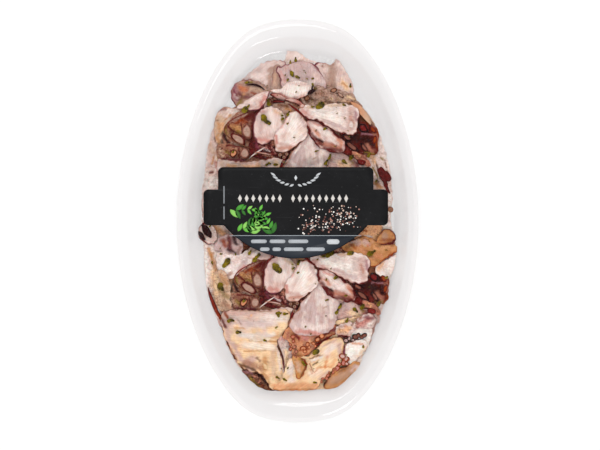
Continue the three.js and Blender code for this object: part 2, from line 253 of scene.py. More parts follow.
sky = bpy.data.worlds.new("sky")
sky.use_nodes = True
sky.node_tree.nodes.clear()
sky_way = wire(sky.node_tree, "ShaderNodeTexCoord").outputs["Generated"]
sky_up = wire(sky.node_tree, "ShaderNodeSeparateXYZ", {0: sky_way}).outputs["Z"]
strength = between(sky.node_tree, sky_up, *SKY_TURN, SKY_SIDE, SKY_TOP)
glow = wire(sky.node_tree, "ShaderNodeBackground", {"Color": (1, 1, 1, 1), "Strength": strength})
wire(sky.node_tree, "ShaderNodeOutputWorld", {"Surface": glow.outputs[0]})
bpy.context.scene.world = sky
bpy.context.scene.view_settings.view_transform = "Standard"


def soft_light(name, place, size, power):
    """A square lamp that faces the pack. Its size against its distance sets how soft it is."""
    data = bpy.data.lights.new(name, "AREA")
    data.size = size
    data.energy = power
    lamp = placed(name, data)
    lamp.location = place
    lamp.rotation_mode = "QUATERNION"
    lamp.rotation_quaternion = lamp.location.to_track_quat("Z", "Y")


soft_light("key", (-0.26, 0.56, 1.0), size=0.7, power=5.6)
soft_light("fill", (0.32, -0.68, 1.0), size=0.35, power=4.2)
print("sky, key and fill")

# %% [markdown]
# ## From arrays to a piece
#
# Nearly every shape here is a stack of rings, closed by a point at each end: the tray's wall from
# the middle of its underside round to the middle of its floor, a slice from one end to the other,
# a sucker from its foot to the bottom of its cup. `loft` turns such a stack into faces that point
# outwards, and `add_piece` puts the arrays into a mesh and says which body the piece rides on.

# %% Faces
def loft(rings, first, last):
    """Closed skin over rings, an array (rings, points, 3), with one point before and after.

    Point i of a ring joins point i + 1 of the same ring and the same two points of the next. Seen
    from outside, rings run counterclockwise about the way from first to last.
    """
    count, around, _ = rings.shape
    points = np.concatenate([rings.reshape(-1, 3), [first], [last]])
    here = np.arange((count - 1) * around).reshape(count - 1, around)
    beside = np.roll(here, -1, axis=1)
    quads = np.stack([here, beside, beside + around, here + around], -1).reshape(-1, 4)
    edge = np.arange(around)
    ahead = np.roll(edge, -1)
    start = np.full(around, count * around)
    base = (count - 1) * around
    fans = [np.stack([start, ahead, edge], -1), np.stack([start + 1, base + edge, base + ahead], -1)]
    return points, quads, np.concatenate(fans)


def joined(shapes):
    """One shape of many: each is (points, quads, triangles, layers), and numbers shift along."""
    points, quads, triangles, layers = zip(*shapes)
    starts = np.cumsum([0] + [len(places) for places in points[:-1]])
    return (
        np.concatenate(points),
        np.concatenate([faces + start for faces, start in zip(quads, starts)]),
        np.concatenate([faces + start for faces, start in zip(triangles, starts)]),
        {name: np.concatenate([layer[name] for layer in layers]) for name in layers[0]},
    )


# %% Pieces
def new_mesh(name, points, quads, triangles):
    """A smooth mesh in metres, from points in millimetres. Also gives the corners of its faces."""
    mesh = bpy.data.meshes.new(name)
    mesh.vertices.add(len(points))
    mesh.vertices.foreach_set("co", (points * MM).astype(np.float32).ravel())
    corners = np.concatenate([quads.ravel(), triangles.ravel()]).astype(np.int32)
    starts = [np.arange(len(quads)) * 4, len(quads) * 4 + np.arange(len(triangles)) * 3]
    mesh.loops.add(len(corners))
    mesh.loops.foreach_set("vertex_index", corners)
    mesh.polygons.add(len(quads) + len(triangles))
    mesh.polygons.foreach_set("loop_start", np.concatenate(starts).astype(np.int32))
    mesh.update(calc_edges=True)
    mesh.validate()
    mesh.shade_smooth()
    return mesh, corners


def add_layer(mesh, corners, layer, values):
    """A value for each point: one number, a place on the surface (uv) or a colour."""
    if values.ndim == 1:
        mesh.attributes.new(layer, "FLOAT", "POINT").data.foreach_set("value", values)
    elif values.shape[1] == 2:
        flat = values[corners].astype(np.float32).ravel()
        mesh.uv_layers.new(name=layer).data.foreach_set("uv", flat)
    else:
        full = np.concatenate([values, np.ones((len(values), 1))], 1).astype(np.float32)
        colour = mesh.color_attributes.new(layer, "FLOAT_COLOR", "POINT")
        colour.data.foreach_set("color", full.ravel())


def add_piece(name, shape, material, node):
    points, quads, triangles, layers = shape
    mesh, corners = new_mesh(name, points, quads, triangles)
    for layer, values in layers.items():
        add_layer(mesh, corners, layer, values)
    mesh.materials.append(material)
    piece = placed(name, mesh)
    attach(piece, "root")
    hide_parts(node)
    print(f"{name}: {2 * len(quads) + len(triangles)} triangles")


# %% [markdown]
# ## The oval outline
#
# The tray's rim is an oval with full shoulders. It is written by its support function, the
# distance from the middle to the tangent at each angle, because moving such an outline inwards
# is then just a subtraction, and the wall, the flange and the film can share one formula.

# %% The oval outline
SHOULDER_OUT = 2.1
SHOULDER_SHIFT = -1.6
CHORD_BLEND = 3.2
HALF_WIDTH = PACK_WIDTH / 2
HALF_LENGTH = PACK_LENGTH / 2
# An inset is how far a ring lies inside the rim: at the sides, at the ends, and the Y of the
# straight end wall, below which the outline is cut off.
MOUTH = np.array([5.9, 9.6, -94.2])
FLOOR = np.array([9.6, 13.8, -90.4])
FLANGE = np.array([LIP_WIDTH, LIP_WIDTH, -PACK_LENGTH])
RIM = np.array([0.0, 0.0, -PACK_LENGTH])


def full_turn(count):
    """Equal steps of angle, all the way round."""
    return np.arange(count) / count * 2 * np.pi


def soft_max(first, second, blend):
    """The larger of two values, with a rounded turn where they are nearly equal."""
    near = np.maximum(blend - np.abs(first - second), 0) / blend
    return np.maximum(first, second) + blend * near**2 / 4


def oval(count, inset):
    """Outline moved inwards by an inset, as an array (count, 2), counterclockwise.

    With c and s the cosine and sine of the normal's angle, the support is
    h = hypot(a c, b s) + fill (2 s c)^2 - inset, and the point is h (c, s) + h' (-s, c).
    """
    side, end, chord = inset
    angle = full_turn(count)
    normal = np.arctan2(HALF_WIDTH * np.sin(angle), HALF_LENGTH * np.cos(angle))
    c = np.cos(normal)
    s = np.sin(normal)
    twice = 2 * s * c
    spread = c * c - s * s
    ellipse = np.hypot(HALF_WIDTH * c, HALF_LENGTH * s)
    fill = SHOULDER_OUT + SHOULDER_SHIFT * spread
    support = ellipse + fill * twice**2 - side - (end - side) * s * s
    slope = (
        (HALF_LENGTH**2 - HALF_WIDTH**2) * s * c / ellipse
        + 4 * fill * twice * spread
        - 2 * SHOULDER_SHIFT * twice**3
        - (end - side) * twice
    )
    y = soft_max(support * s + slope * c, chord, CHORD_BLEND)
    return np.stack([support * c - slope * s, y], -1)


def raised(outline, height):
    """A flat outline as points in space."""
    return np.column_stack([outline, np.full(len(outline), height)])


print("flange opening", np.ptp(oval(360, MOUTH), axis=0).round(1), "mm")

# %% [markdown]
# ## Clear plastic
#
# Thin clear sheet does three things at once: most light goes straight through, a little is
# mirrored, more so at a flat angle, and a trace is scattered by haze. A refracting glass shader
# would throw a dark shadow on the floor, so the sheet is a mix of a transparent, a glossy and a
# faint diffuse shader, which lets the lamps shine through.

# %% Clear plastic
RIPPLE_SIZE = 14.0
RIPPLE_DEPTH = 0.10
GRAZING_GLOSS = 0.45  # share that is mirrored at the flattest angle


def clear_sheet(name, clear_tint, haze, haze_tint, gloss, rough):
    """Clear sheet: at a flat angle, more gloss covers a transparent shader with a share of haze."""
    material, tree = new_material(name)
    bump = bumps(tree, noise(tree, object_place(tree), 1 / (RIPPLE_SIZE * MM)), RIPPLE_DEPTH)
    clear = wire(tree, "ShaderNodeBsdfTransparent", {"Color": opaque(clear_tint)})
    cloudy = {"Base Color": opaque(haze_tint), "Roughness": 0.4, "Specular IOR Level": 0.0}
    hazy = mixed_shader(tree, haze, clear, wire(tree, PRINCIPLED, cloudy))
    shine = wire(tree, "ShaderNodeBsdfGlossy", {"Roughness": rough, "Normal": bump})
    facing = wire(tree, "ShaderNodeLayerWeight", {"Blend": 0.5, "Normal": bump}).outputs["Facing"]
    mirror = between(tree, maths(tree, "POWER", facing, 5.0), 0, 1, gloss, GRAZING_GLOSS)
    return finish_with(material, mixed_shader(tree, mirror, hazy, shine))


tray_plastic = clear_sheet("tray_plastic", "fbfafa", 0.06, "f0eeee", gloss=0.03, rough=0.05)
film_plastic = clear_sheet("film_plastic", "fefefe", 0.001, "f4f4f4", gloss=0.002, rough=0.06)
print("finishes:", tray_plastic.name, film_plastic.name)

# %% [markdown]
# ## Tray
#
# A thermoformed tray is one sheet of even thickness. Its section is a short list of corners, from
# under the floor, up outside, round the turned-down lip and down inside. Every corner is then
# rounded by a parabola, as the sheet is where it was drawn over the mould's edges.

# %% Tray
ROUND_STEPS = 6
TRAY_AROUND = 300
FLAT_FROM = 9.0  # the floor's last ring, this far inside its edge, where the oval is still simple
FLANGE_UNDER = DEPTH - WALL
LIP_END = DEPTH - LIP_DROP


def rounded(corners, radii):
    """Replaces each inner corner by a parabola that leaves its two edges `radius` away from it.

    With a and b the places on the two edges and p the corner, its points are
    (1 - t)^2 a + 2 t (1 - t) p + t^2 b for t from 0 to 1.
    """
    corners = np.array(corners, float)
    middle = corners[1:-1]
    radius = np.array(radii, float)[:, None]
    touches = []
    for way in (corners[:-2] - middle, corners[2:] - middle):
        size = np.linalg.norm(way[:, [0, 3]], axis=1, keepdims=True)
        touches.append((middle + way * np.minimum(radius / size, 0.48))[:, None])
    a, b = touches
    t = np.linspace(0, 1, ROUND_STEPS)[None, :, None]
    turns = (1 - t) ** 2 * a + 2 * t * (1 - t) * middle[:, None] + t**2 * b
    return np.concatenate([corners[:1], turns.reshape(-1, 4), corners[-1:]])


def at(inset, outwards, height):
    """A corner of the section: an inset moved outwards, and its height."""
    return [*(inset - outwards), height]


section_corners = [
    at(FLOOR, -FLAT_FROM, 0),
    at(FLOOR, WALL, 0),
    at(MOUTH, WALL + 0.2, FLANGE_UNDER),
    at(FLANGE, -0.3, FLANGE_UNDER),
    at(RIM, 0, LIP_END - WALL),
    at(RIM, 0, LIP_END),
    at(FLANGE, 0, DEPTH),
    at(MOUTH, 0.23, DEPTH),
    at(FLOOR, 0, WALL),
    at(FLOOR, -FLAT_FROM, WALL),
]
section = rounded(section_corners, [FLOOR_ROUND + WALL, 0.6, 0.5, 0.15, 0.15, 0.9, 1.0, FLOOR_ROUND])
tray_rings = np.stack([raised(oval(TRAY_AROUND, row[:3]), row[3]) for row in section])
tray_shape = (*loft(tray_rings, (0, 0, 0), (0, 0, WALL)), {})
add_piece("formed_tray", tray_shape, tray_plastic, "tray")

# %% [markdown]
# ## Lid film
#
# The film is heat sealed on the flange and drawn taut. It is a thin closed plate that sags a
# fraction of a millimetre over the well, in shallow waves, which break up its reflections.

# %% Lid film
FILM_AROUND = 240
FILM_RINGS = 60
FILM_SAG = 0.3
SEAL_GAP = 0.02
WAVES = 7
WAVE_SUM = 2.6  # brings the sum of the waves back to about -1 to 1


def swell(x, y, size, seed):
    """Smooth random relief, roughly from -1 to 1.

    The sum of seven plane waves, sin(k . p + phase), about `size` mm from crest to crest, whose
    directions and phases are drawn from the seed.
    """
    draw = np.random.default_rng(seed)
    turn = draw.uniform(0, 2 * np.pi, WAVES)
    pace = 2 * np.pi / size * draw.uniform(0.7, 1.4, WAVES)
    phase = draw.uniform(0, 2 * np.pi, WAVES)
    x = np.asarray(x, float)[..., None]
    y = np.asarray(y, float)[..., None]
    return np.sin(x * pace * np.cos(turn) + y * pace * np.sin(turn) + phase).sum(-1) / WAVE_SUM


def film_face(height):
    """Rings of one face from the seal to the middle. The sag is FILM_SAG (1 + swell) / 2, and
    fades in between 8 and 20 hundredths of the way in."""
    share = (np.arange(FILM_RINGS) / FILM_RINGS)[:, None]
    edge = oval(FILM_AROUND, FLANGE)
    x = edge[:, 0] * (1 - share)
    y = edge[:, 1] * (1 - share)
    fade = np.clip((share - 0.08) / 0.12, 0, 1)
    sag = FILM_SAG * (0.5 + 0.5 * swell(x, y, 34, 5)) * fade
    return np.stack([x, y, np.broadcast_to(height, x.shape) - np.clip(sag, 0, FILM_SAG)], -1)


film_low = film_face(DEPTH + SEAL_GAP)
film_high = film_face(FILM_TOP)
film_rings = np.concatenate([film_low[::-1], film_high])
film_shape = (*loft(film_rings, film_low[-1].mean(0), film_high[-1].mean(0)), {})
add_piece("lid_film_sheet", film_shape, film_plastic, "lid_film")

# %% [markdown]
# ## Label
#
# The label is a thin plate with a tab on each side and a round lower edge. It is printed in
# satin black, with a blue-black field at the bottom under a pale line.

# %% Label outline
LABEL_MIDDLE = -0.9
LABEL_HEART = (LABEL_MIDDLE, 6.0)  # every point of the outline can be seen from here
BODY_TOP = 28.0
BODY_HALF = 40.4
TAB_HALF = 48.0
TAB_TOP = 16.4
TAB_BOTTOM = -2.3
BOWL_HALF = 37.4
BOWL_BOTTOM = -19.5
LABEL_CORNER = 2.6
PRINT_THICK = 0.05
LABEL_FACE = LABEL_TOP - PRINT_THICK

bowl_drop = TAB_BOTTOM - BOWL_BOTTOM
bowl_radius = (BOWL_HALF**2 + bowl_drop**2) / (2 * bowl_drop)
bowl_angle = math.degrees(math.asin(BOWL_HALF / bowl_radius))
bowl_y = BOWL_BOTTOM + bowl_radius


def arc(x, y, radius, first, last, count=14):
    """Points of a circle's arc between two angles in degrees."""
    angle = np.radians(np.linspace(first, last, count))
    return np.column_stack([x + radius * np.cos(angle), y + radius * np.sin(angle)])


def label_outline():
    """Right half of the outline as arcs, from the bottom up, then its mirror image."""
    tab_x = TAB_HALF - LABEL_CORNER
    half = [
        arc(0, bowl_y, bowl_radius, -90, -90 + bowl_angle, 40),
        arc(tab_x, TAB_BOTTOM + LABEL_CORNER, LABEL_CORNER, -90, 0),
        arc(tab_x, TAB_TOP - LABEL_CORNER, LABEL_CORNER, 0, 90),
        [(BODY_HALF, TAB_TOP)],
        arc(BODY_HALF - LABEL_CORNER, BODY_TOP - LABEL_CORNER, LABEL_CORNER, 0, 90),
    ]
    half = np.concatenate(half)
    mirrored = half[::-1] * (-1, 1)
    return np.concatenate([half, mirrored[:-1]]) + (LABEL_MIDDLE, 0)


def plate(outline, heart, low, high, steps):
    """Flat closed plate: its outline below, then above, then shrunk towards its heart."""
    heart = np.array(heart, float)
    shares = np.linspace(1, 0, steps + 1)[:-1]
    top = [raised(heart + (outline - heart) * share, high) for share in shares]
    return loft(np.stack([raised(outline, low), *top]), (*heart, low), (*heart, high))


print("label", np.ptp(label_outline(), axis=0).round(1), "mm")

# %% [markdown]
# Print is a film of ink, so its pieces are plates a twentieth of a millimetre thick. The words
# and the picture that such a pack carries are left out. Their places hold plain marks instead: a
# row of lozenges for the title, short bars for the small lines, two leaf sprigs and loose grains.

# %% Label finish
def printed_black():
    """Satin black with faint cloudy scuffs and specks of dust."""
    material, tree = new_material("label_black")
    place = object_place(tree)
    cloud = between(tree, noise(tree, place, 90, 6, 0.65), 0.42, 0.7)
    scuff = noise(tree, stretched(tree, place, (60, 900, 60)), 1.0, 4, 0.7)
    dust = between(tree, noise(tree, place, 1500, 1), 0.72, 0.8, 0, 0.35)
    base = blend_colours(tree, cloud, opaque("0b0b0d"), opaque("131315"))
    scuffed = blend_colours(tree, between(tree, scuff, 0.6, 0.78, 0, 0.5), base, opaque("3a3a3c"))
    finish = {
        "Base Color": blend_colours(tree, dust, scuffed, opaque("6a6a6c")),
        "Roughness": between(tree, scuff, 0.3, 0.7, 0.38, 0.55),
        "Specular IOR Level": 0.14,
    }
    return finish_with(material, wire(tree, PRINCIPLED, finish))


def printed_ink():
    """Ink in the colour that each mark carries, slightly uneven."""
    material, tree = new_material("label_ink")
    ink = wire(tree, "ShaderNodeAttribute", attribute_name="Ink").outputs["Color"]
    wear = between(tree, noise(tree, object_place(tree), 2200), 0.5, 0.8, 0, 0.25)
    worn = blend_colours(tree, wear, ink, opaque("1b1c1e"))
    finish = {"Base Color": worn, "Roughness": 0.45, "Specular IOR Level": 0.3}
    return finish_with(material, wire(tree, PRINCIPLED, finish))


black_print = printed_black()
ink_print = printed_ink()
label_shape = (*plate(label_outline(), LABEL_HEART, FILM_TOP, LABEL_FACE, 12), {})
add_piece("label_base", label_shape, black_print, "label")

# %% Printed marks
def turned(x, y, ahead, aside, angle):
    """Places so far ahead of x, y and aside of it, in a direction given in radians."""
    c = math.cos(angle)
    s = math.sin(angle)
    return x + ahead * c - aside * s, y + ahead * s + aside * c


def mark(outline, colour, height=LABEL_TOP, low=LABEL_FACE):
    """One printed mark from a flat outline."""
    outline = np.asarray(outline, float)
    shape = plate(outline, outline.mean(0), low, height, 1)
    return (*shape, {"Ink": np.tile(tint(colour), (len(shape[0]), 1))})


def bar(x, y, half_x, half_y, colour):
    """A bar with round ends, centred at x, y."""
    radius = min(half_x, half_y)
    dx = half_x - radius
    dy = half_y - radius
    turns = [
        arc(x + right * dx, y + up * dy, radius, first, first + 90, 5)
        for right, up, first in ((1, -1, -90), (1, 1, 0), (-1, 1, 90), (-1, -1, 180))
    ]
    return mark(np.concatenate(turns), colour)


def dashes(x, y, lengths, half_y, colour, gap=1.5):
    """A line of bars from x to the right, set apart by a gap."""
    starts = x + np.concatenate([[0], np.cumsum(np.array(lengths[:-1]) + gap)])
    return [bar(s + l / 2, y, l / 2, half_y, colour) for s, l in zip(starts, lengths)]


def lozenge(x, y, half_x, half_y, colour):
    """A slim upright diamond."""
    return mark([(x, y - half_y), (x + half_x, y), (x, y + half_y), (x - half_x, y)], colour)


def leaf(x, y, length, width, turn, colour):
    """A leaf from its stalk. At share t of its length, half its width is
    width / 2 sin(pi t)^0.8 (1.25 - 0.5 t)."""
    t = np.linspace(0, 1, 9)
    half = width / 2 * np.abs(np.sin(np.pi * t)) ** 0.8 * (1.25 - 0.5 * t)
    ahead = np.concatenate([t, t[-2:0:-1]]) * length
    aside = np.concatenate([-half, half[-2:0:-1]])
    return mark(np.column_stack(turned(x, y, ahead, aside, math.radians(turn))), colour)


def sprig(side):
    """Half of a small wreath: a curved row of leaves. Side is -1 or 1."""
    leaves = []
    for k, angle in enumerate(np.linspace(205, 265, 6)):
        a = math.radians(angle)
        x = LABEL_MIDDLE + side * -11.5 * math.cos(a)
        y = 26.4 + 7.4 * math.sin(a)
        way = angle - 60 if side < 0 else 240 - angle
        leaves.append(leaf(x, y, 3.3 - 0.15 * k, 1.1, way, "b9bcbf"))
    return leaves


print("a bar has", len(bar(0, 0, 4, 1, "a9adb2")[0]), "points")

# %% Marks on the label
FIELD_TOP = -7.6  # Y of the pale line
TITLE_Y = 11.7
TITLE_LEFT = -29
TITLE_COUNT = 17
TITLE_GAP = 7  # the lozenge that is left out, so that the row reads as two
LOZENGE = (1.05, 2.1)  # half sizes
LOZENGE_PITCH = 3.45

# The field is the part of the bowl below the pale line.
field_angle = math.degrees(math.acos((bowl_y - FIELD_TOP) / bowl_radius))
field_edge = arc(LABEL_MIDDLE, bowl_y, bowl_radius - 0.25, -90 - field_angle, -90 + field_angle, 60)
title_x = [LABEL_MIDDLE + TITLE_LEFT + k * LOZENGE_PITCH for k in range(TITLE_COUNT) if k != TITLE_GAP]
marks = [
    mark(field_edge, "1e242d", LABEL_FACE + 0.02, LABEL_FACE - 0.02),
    *[lozenge(x, TITLE_Y, *LOZENGE, "cfcac4") for x in title_x],
    *dashes(-24.2, -10.6, [8.2, 8.2, 10.4], 0.95, "a9adb2"),
    *dashes(-19.5, -14.7, [5.0, 4.4, 10.2, 9.6], 0.95, "a9adb2"),
    *dashes(15.2, -10.8, [6.6], 1.3, "c2c5c8"),
    bar(LABEL_MIDDLE, FIELD_TOP, 34.0, 0.16, "9aa0a6"),
    *sprig(-1),
    *sprig(1),
    lozenge(LABEL_MIDDLE, 22.4, 0.8, 1.5, "c9cccf"),
    bar(-38.2, 13.6, 0.35, 4.6, "7d8084"),
    bar(-38.2, 4.2, 0.35, 3.4, "7d8084"),
]
add_piece("label_marks", joined(marks), ink_print, "label")

# %% Printed leaves and grains
LEAF_GREENS = ("3f8f2a", "5fae3c", "2c6a1f", "86c35a")
GRAIN_COLOURS = ("f2efea", "e6ddd6", "a9776a", "d8b9a8", "6d4038")
SPRIGS = [(-31, -5.4, 22, 18), (-24, -6.2, 62, 13.5), (-13, -6.4, 118, 14), (-35, 6.0, -8, 12)]
# Loose grains: middle, spread and number of each heap, and the X between which they may lie.
GRAIN_HEAPS = [((10, -3.5), (5.5, 2.2), 90), ((24, 1.5), (5.0, 3.2), 80), ((15, 3), (9, 4), 40)]
GRAIN_REACH = (0, 35)


def printed_sprig(x, y, turn, length, draw):
    """Leaflets in pairs along a line, smaller towards its tip, where one more leaf ends it."""
    pairs = int(length / 2.6)
    leaves = []
    for k in range(pairs):
        share = k / pairs
        a = math.radians(turn + 10 * share)
        place = turned(x, y, length * share, 0, a)
        size = (5.4 - 2.8 * share) * draw.uniform(0.85, 1.15)
        for side in (-1, 1):
            colour = LEAF_GREENS[draw.integers(len(LEAF_GREENS))]
            leaf_turn = turn + side * draw.uniform(38, 60)
            leaves.append(leaf(*place, size, size * 0.42, leaf_turn, colour))
    tip = turned(x, y, length * 0.92, 0, a)
    return [*leaves, leaf(*tip, 3.4, 1.5, turn, LEAF_GREENS[1])]


def on_dark(shapes):
    """Only the marks that stay between the pale line and the title."""
    y = [shape[0][:, 1] for shape in shapes]
    low, high = FIELD_TOP + 0.5, TITLE_Y - 3
    return [shape for shape, s in zip(shapes, y) if s.min() > low and s.max() < high]


leaf_draw = np.random.default_rng(11)
leaves = on_dark([m for spec in SPRIGS for m in printed_sprig(*spec, leaf_draw)])
add_piece("label_leaves", joined(leaves), ink_print, "label")

grain_draw = np.random.default_rng(23)
grains = []
for heap_middle, heap_spread, count in GRAIN_HEAPS:
    for _ in range(count):
        x, y = grain_draw.normal(heap_middle, heap_spread)
        radius = grain_draw.uniform(0.22, 0.55)
        colour = GRAIN_COLOURS[grain_draw.integers(len(GRAIN_COLOURS))]
        if GRAIN_REACH[0] < x < GRAIN_REACH[1]:
            grains.append(mark(arc(x, y, radius, 0, 300, 6), colour))
add_piece("label_grains", joined(on_dark(grains)), ink_print, "label")

# %% [markdown]
# ## The finish of octopus
#
# A cooked slice is pale, moist and slightly see-through. Fine muscle fibres run through it, it
# darkens towards its edge, partly by a real blush of the flesh and partly by painted shade, and the
# edge itself is a thin purple brown skin. Each point of a slice carries its own flesh and skin
# colour and how near it is to the edge. The node group adds what is too fine for the mesh: fibres,
# blotches and the frayed inner border of the skin.

# %% Colours of octopus
PALETTE = dict(entry.split("=") for entry in """
    white=fff6ee ivory=f8e6de cream=ffdbb2 peach=f6bd8e shell=ead2ca rose=dab8ae blush=d8958a
    lilac=d6bcb8 grey=bfa8a2 sand=debca2 beige=bd9c8c salmon=c88670 tan=d09664 caramel=c4864a
    fawn=ae7e66 olive=8f7832 umber=80543c russet=8c5a4c clay=e0a078 bark=5a3622 mauve=a8747c
    plum=7c3a48 wine=802624 maroon=621e1c ink=2a0a0c rust=994420 orange=da7634 herb=8a7402
    herb_dark=2e2606""".split())
LIGHT = 1.18  # how bright the lamps and the sky make a white level face


def paint(name):
    """Linear colour of a surface that looks like a name of the palette under this light."""
    return tint(PALETTE[name]) / LIGHT


print(len(PALETTE), "colours, shell in linear numbers:", paint("shell").round(2))

# %% Pattern of octopus
def add_sockets(group):
    """What the group takes in and puts out."""
    for way, kind, names in (
        ("INPUT", "Color", ("Flesh", "Skin")),
        ("INPUT", "Float", ("Edge", "Veins")),
        ("INPUT", "Vector", ("Fibre",)),
        ("OUTPUT", "Color", ("Color",)),
        ("OUTPUT", "Float", ("Roughness", "Height")),
    ):
        for name in names:
            group.interface.new_socket(name, in_out=way, socket_type="NodeSocket" + kind)


def octopus_pattern():
    """Node group: flesh and skin colours, edge mask and fibre direction to finished values."""
    group = bpy.data.node_groups.new("octopus_pattern", "ShaderNodeTree")
    add_sockets(group)
    given = wire(group, "NodeGroupInput").outputs
    flesh = given["Flesh"]
    skin = given["Skin"]
    place = object_place(group)
    blotch = noise(group, place, 190, 3, 0.6)
    mottle = noise(group, place, 850, 3, 0.6)
    fibre = noise(group, stretched(group, given["Fibre"], (0.16, 1.7, 1)), 1.0, 5, 0.72)

    # The flesh: ruddy blotches, then darker and lighter fibres.
    ruddy = times(group, flesh, 0.93, 0.78, 0.72)
    blotchy = blend_colours(group, between(group, blotch, 0.42, 0.72, 0, 0.6), flesh, ruddy)
    shaded = times(group, blotchy, 0.85, 0.74, 0.70)
    streaked = blend_colours(group, between(group, fibre, 0.5, 0.66, 0, 0.75), blotchy, shaded)
    lit = times(group, streaked, 1.22, 1.25, 1.26)
    light = blend_colours(group, between(group, fibre, 0.5, 0.34, 0, 0.9), streaked, lit)

    # Winding veins, along the lines where a noise crosses its middle value.
    line = maths(group, "ABSOLUTE", maths(group, "SUBTRACT", noise(group, place, 360, 3, 0.65), 0.5))
    patch = between(group, noise(group, place, 520, 4, 0.7), 0.52, 0.62)
    on_line = sum_of(group, between(group, line, 0.0, 0.05, 1, 0), patch, 0.8)
    veined = blend_colours(group, maths(group, "MULTIPLY", on_line, given["Veins"]), light, skin)

    # The edge: a blush, partly painted shade along the rim, then the mottled skin with a frayed
    # border.
    frayed = sum_of(group, given["Edge"], maths(group, "SUBTRACT", mottle, 0.5), 0.28)
    blush = blend_colours(group, 0.3, times(group, flesh, 0.84, 0.58, 0.54), skin)
    rim_coloured_and_shaded = blend_colours(group, between(group, frayed, 0.1, 0.5, 0, 0.85), veined, blush)
    dark_skin = times(group, skin, 0.7, 0.55, 0.55)
    mottled = blend_colours(group, between(group, mottle, 0.35, 0.7), skin, dark_skin)
    finished = blend_colours(group, between(group, frayed, 0.45, 0.7), rim_coloured_and_shaded, mottled)
    vivid = wire(group, "ShaderNodeHueSaturation", {"Saturation": 1.03, "Color": finished})

    results = {
        "Color": vivid.outputs[0],
        "Roughness": between(group, mottle, 0.3, 0.7, 0.28, 0.52),
        "Height": sum_of(group, sum_of(group, fibre, mottle, 0.5), blotch, 0.8),
    }
    wire(group, "NodeGroupOutput", results)
    return group


PATTERN = octopus_pattern()
print("octopus_pattern:", len(PATTERN.nodes), "nodes")

# %% Octopus flesh
def octopus_material(name):
    """Moist flesh: light scatters a millimetre deep, under a wet coat."""
    material, tree = new_material(name)
    inputs = {"Fibre": wire(tree, "ShaderNodeUVMap", uv_map="Fibre").outputs[0]}
    for layer, result in (("Flesh", "Color"), ("Skin", "Color"), ("Edge", "Fac"), ("Veins", "Fac")):
        inputs[layer] = wire(tree, "ShaderNodeAttribute", attribute_name=layer).outputs[result]
    pattern = wire(tree, "ShaderNodeGroup", inputs, node_tree=PATTERN).outputs
    finish = {
        "Base Color": pattern["Color"],
        "Roughness": pattern["Roughness"],
        "Normal": bumps(tree, pattern["Height"], 0.3),
        "Subsurface Weight": 0.2,
        "Subsurface Radius": (1.0, 0.45, 0.3),
        "Subsurface Scale": 1.2 * MM,
        "Specular IOR Level": 0.05,
        "Coat Weight": 0.05,
        "Coat Roughness": 0.1,
    }
    return finish_with(material, wire(tree, PRINCIPLED, finish))


slice_flesh = octopus_material("slice_flesh")
print("finish:", slice_flesh.name)

# %% [markdown]
# ## How the slices lie
#
# A heap looks right only if each slice really rests on those below it. So the heap is laid slice
# by slice on a height field, a grid of cells that knows how high the heap is so far. A slice takes
# the heights under it, widened and softened because flesh is stiff, adds its own thickness, and
# writes its top back into the field.

# %% Height field
CELL = 0.5
TRAY_FLOOR = WALL + 0.1
BED_MARGIN = 8  # cells round a slice that may bear on it
field_x = np.arange(-62, 62.01, CELL)
field_y = np.arange(-100, 100.01, CELL)
height = np.full((len(field_y), len(field_x)), TRAY_FLOOR)


def cell_of(x, y):
    """Row and column, with fractions, of a place on the field."""
    column = np.clip((np.asarray(x) - field_x[0]) / CELL, 0, len(field_x) - 1.001)
    row = np.clip((np.asarray(y) - field_y[0]) / CELL, 0, len(field_y) - 1.001)
    return row, column


def read_field(grid, row, column):
    """Value between four cells, weighted by the distance to each."""
    r = row.astype(int)
    c = column.astype(int)
    fr = row - r
    fc = column - c
    low = grid[r, c] * (1 - fc) + grid[r, c + 1] * fc
    high = grid[r + 1, c] * (1 - fc) + grid[r + 1, c + 1] * fc
    return low * (1 - fr) + high * fr


def raise_field(x, y, z):
    """Lifts the four cells round each point to at least its height."""
    row, column = cell_of(x, y)
    for up in (0, 1):
        for over in (0, 1):
            np.maximum.at(height, (row.astype(int) + up, column.astype(int) + over), z)


def near(grid, rule):
    """Each cell becomes what a rule makes of it and its four neighbours."""
    padded = np.pad(grid, 1, mode="edge")
    middle = padded[1:-1, 1:-1]
    return rule([middle, padded[:-2, 1:-1], padded[2:, 1:-1], padded[1:-1, :-2], padded[1:-1, 2:]])


def average(grids):
    """The mean of several grids, cell by cell."""
    return sum(grids) / len(grids)


def bed_under(x, y, stiff):
    """Heights below a slice, widened and softened: `stiff` says how often."""
    row, column = cell_of(x, y)
    top = max(int(row.min()) - BED_MARGIN, 0)
    left = max(int(column.min()) - BED_MARGIN, 0)
    window = height[top : int(row.max()) + BED_MARGIN, left : int(column.max()) + BED_MARGIN]
    for _ in range(2):
        window = near(window, np.maximum.reduce)
    for _ in range(stiff):
        window = near(window, average)
    return read_field(window, row - top, column - left)


print("height field", height.shape)

# %% [markdown]
# The well's sloping wall and the film above hold the heap in. Points that would pass the wall are
# moved inwards, the nearer to it the more, and heights are squeezed towards the film in the same
# way, so that neighbours keep their order and don't cut through each other.

# %% Wall and film
HEAP_GAP = 0.35
HEAP_TOP = DEPTH - 0.6
SQUEEZE_FROM = 9.0
WALL_BLEND = 1.2
ANGLES = np.linspace(-np.pi, np.pi, 1441)


def reach_at(inset):
    """Distance from the middle to an outline at each of ANGLES."""
    edge = oval(1440, inset)
    angle = np.arctan2(edge[:, 1], edge[:, 0])
    order = np.argsort(angle)
    return np.interp(ANGLES, angle[order], np.hypot(*edge.T)[order], period=2 * np.pi)


MOUTH_REACH = reach_at(MOUTH)
FLOOR_REACH = reach_at(FLOOR)


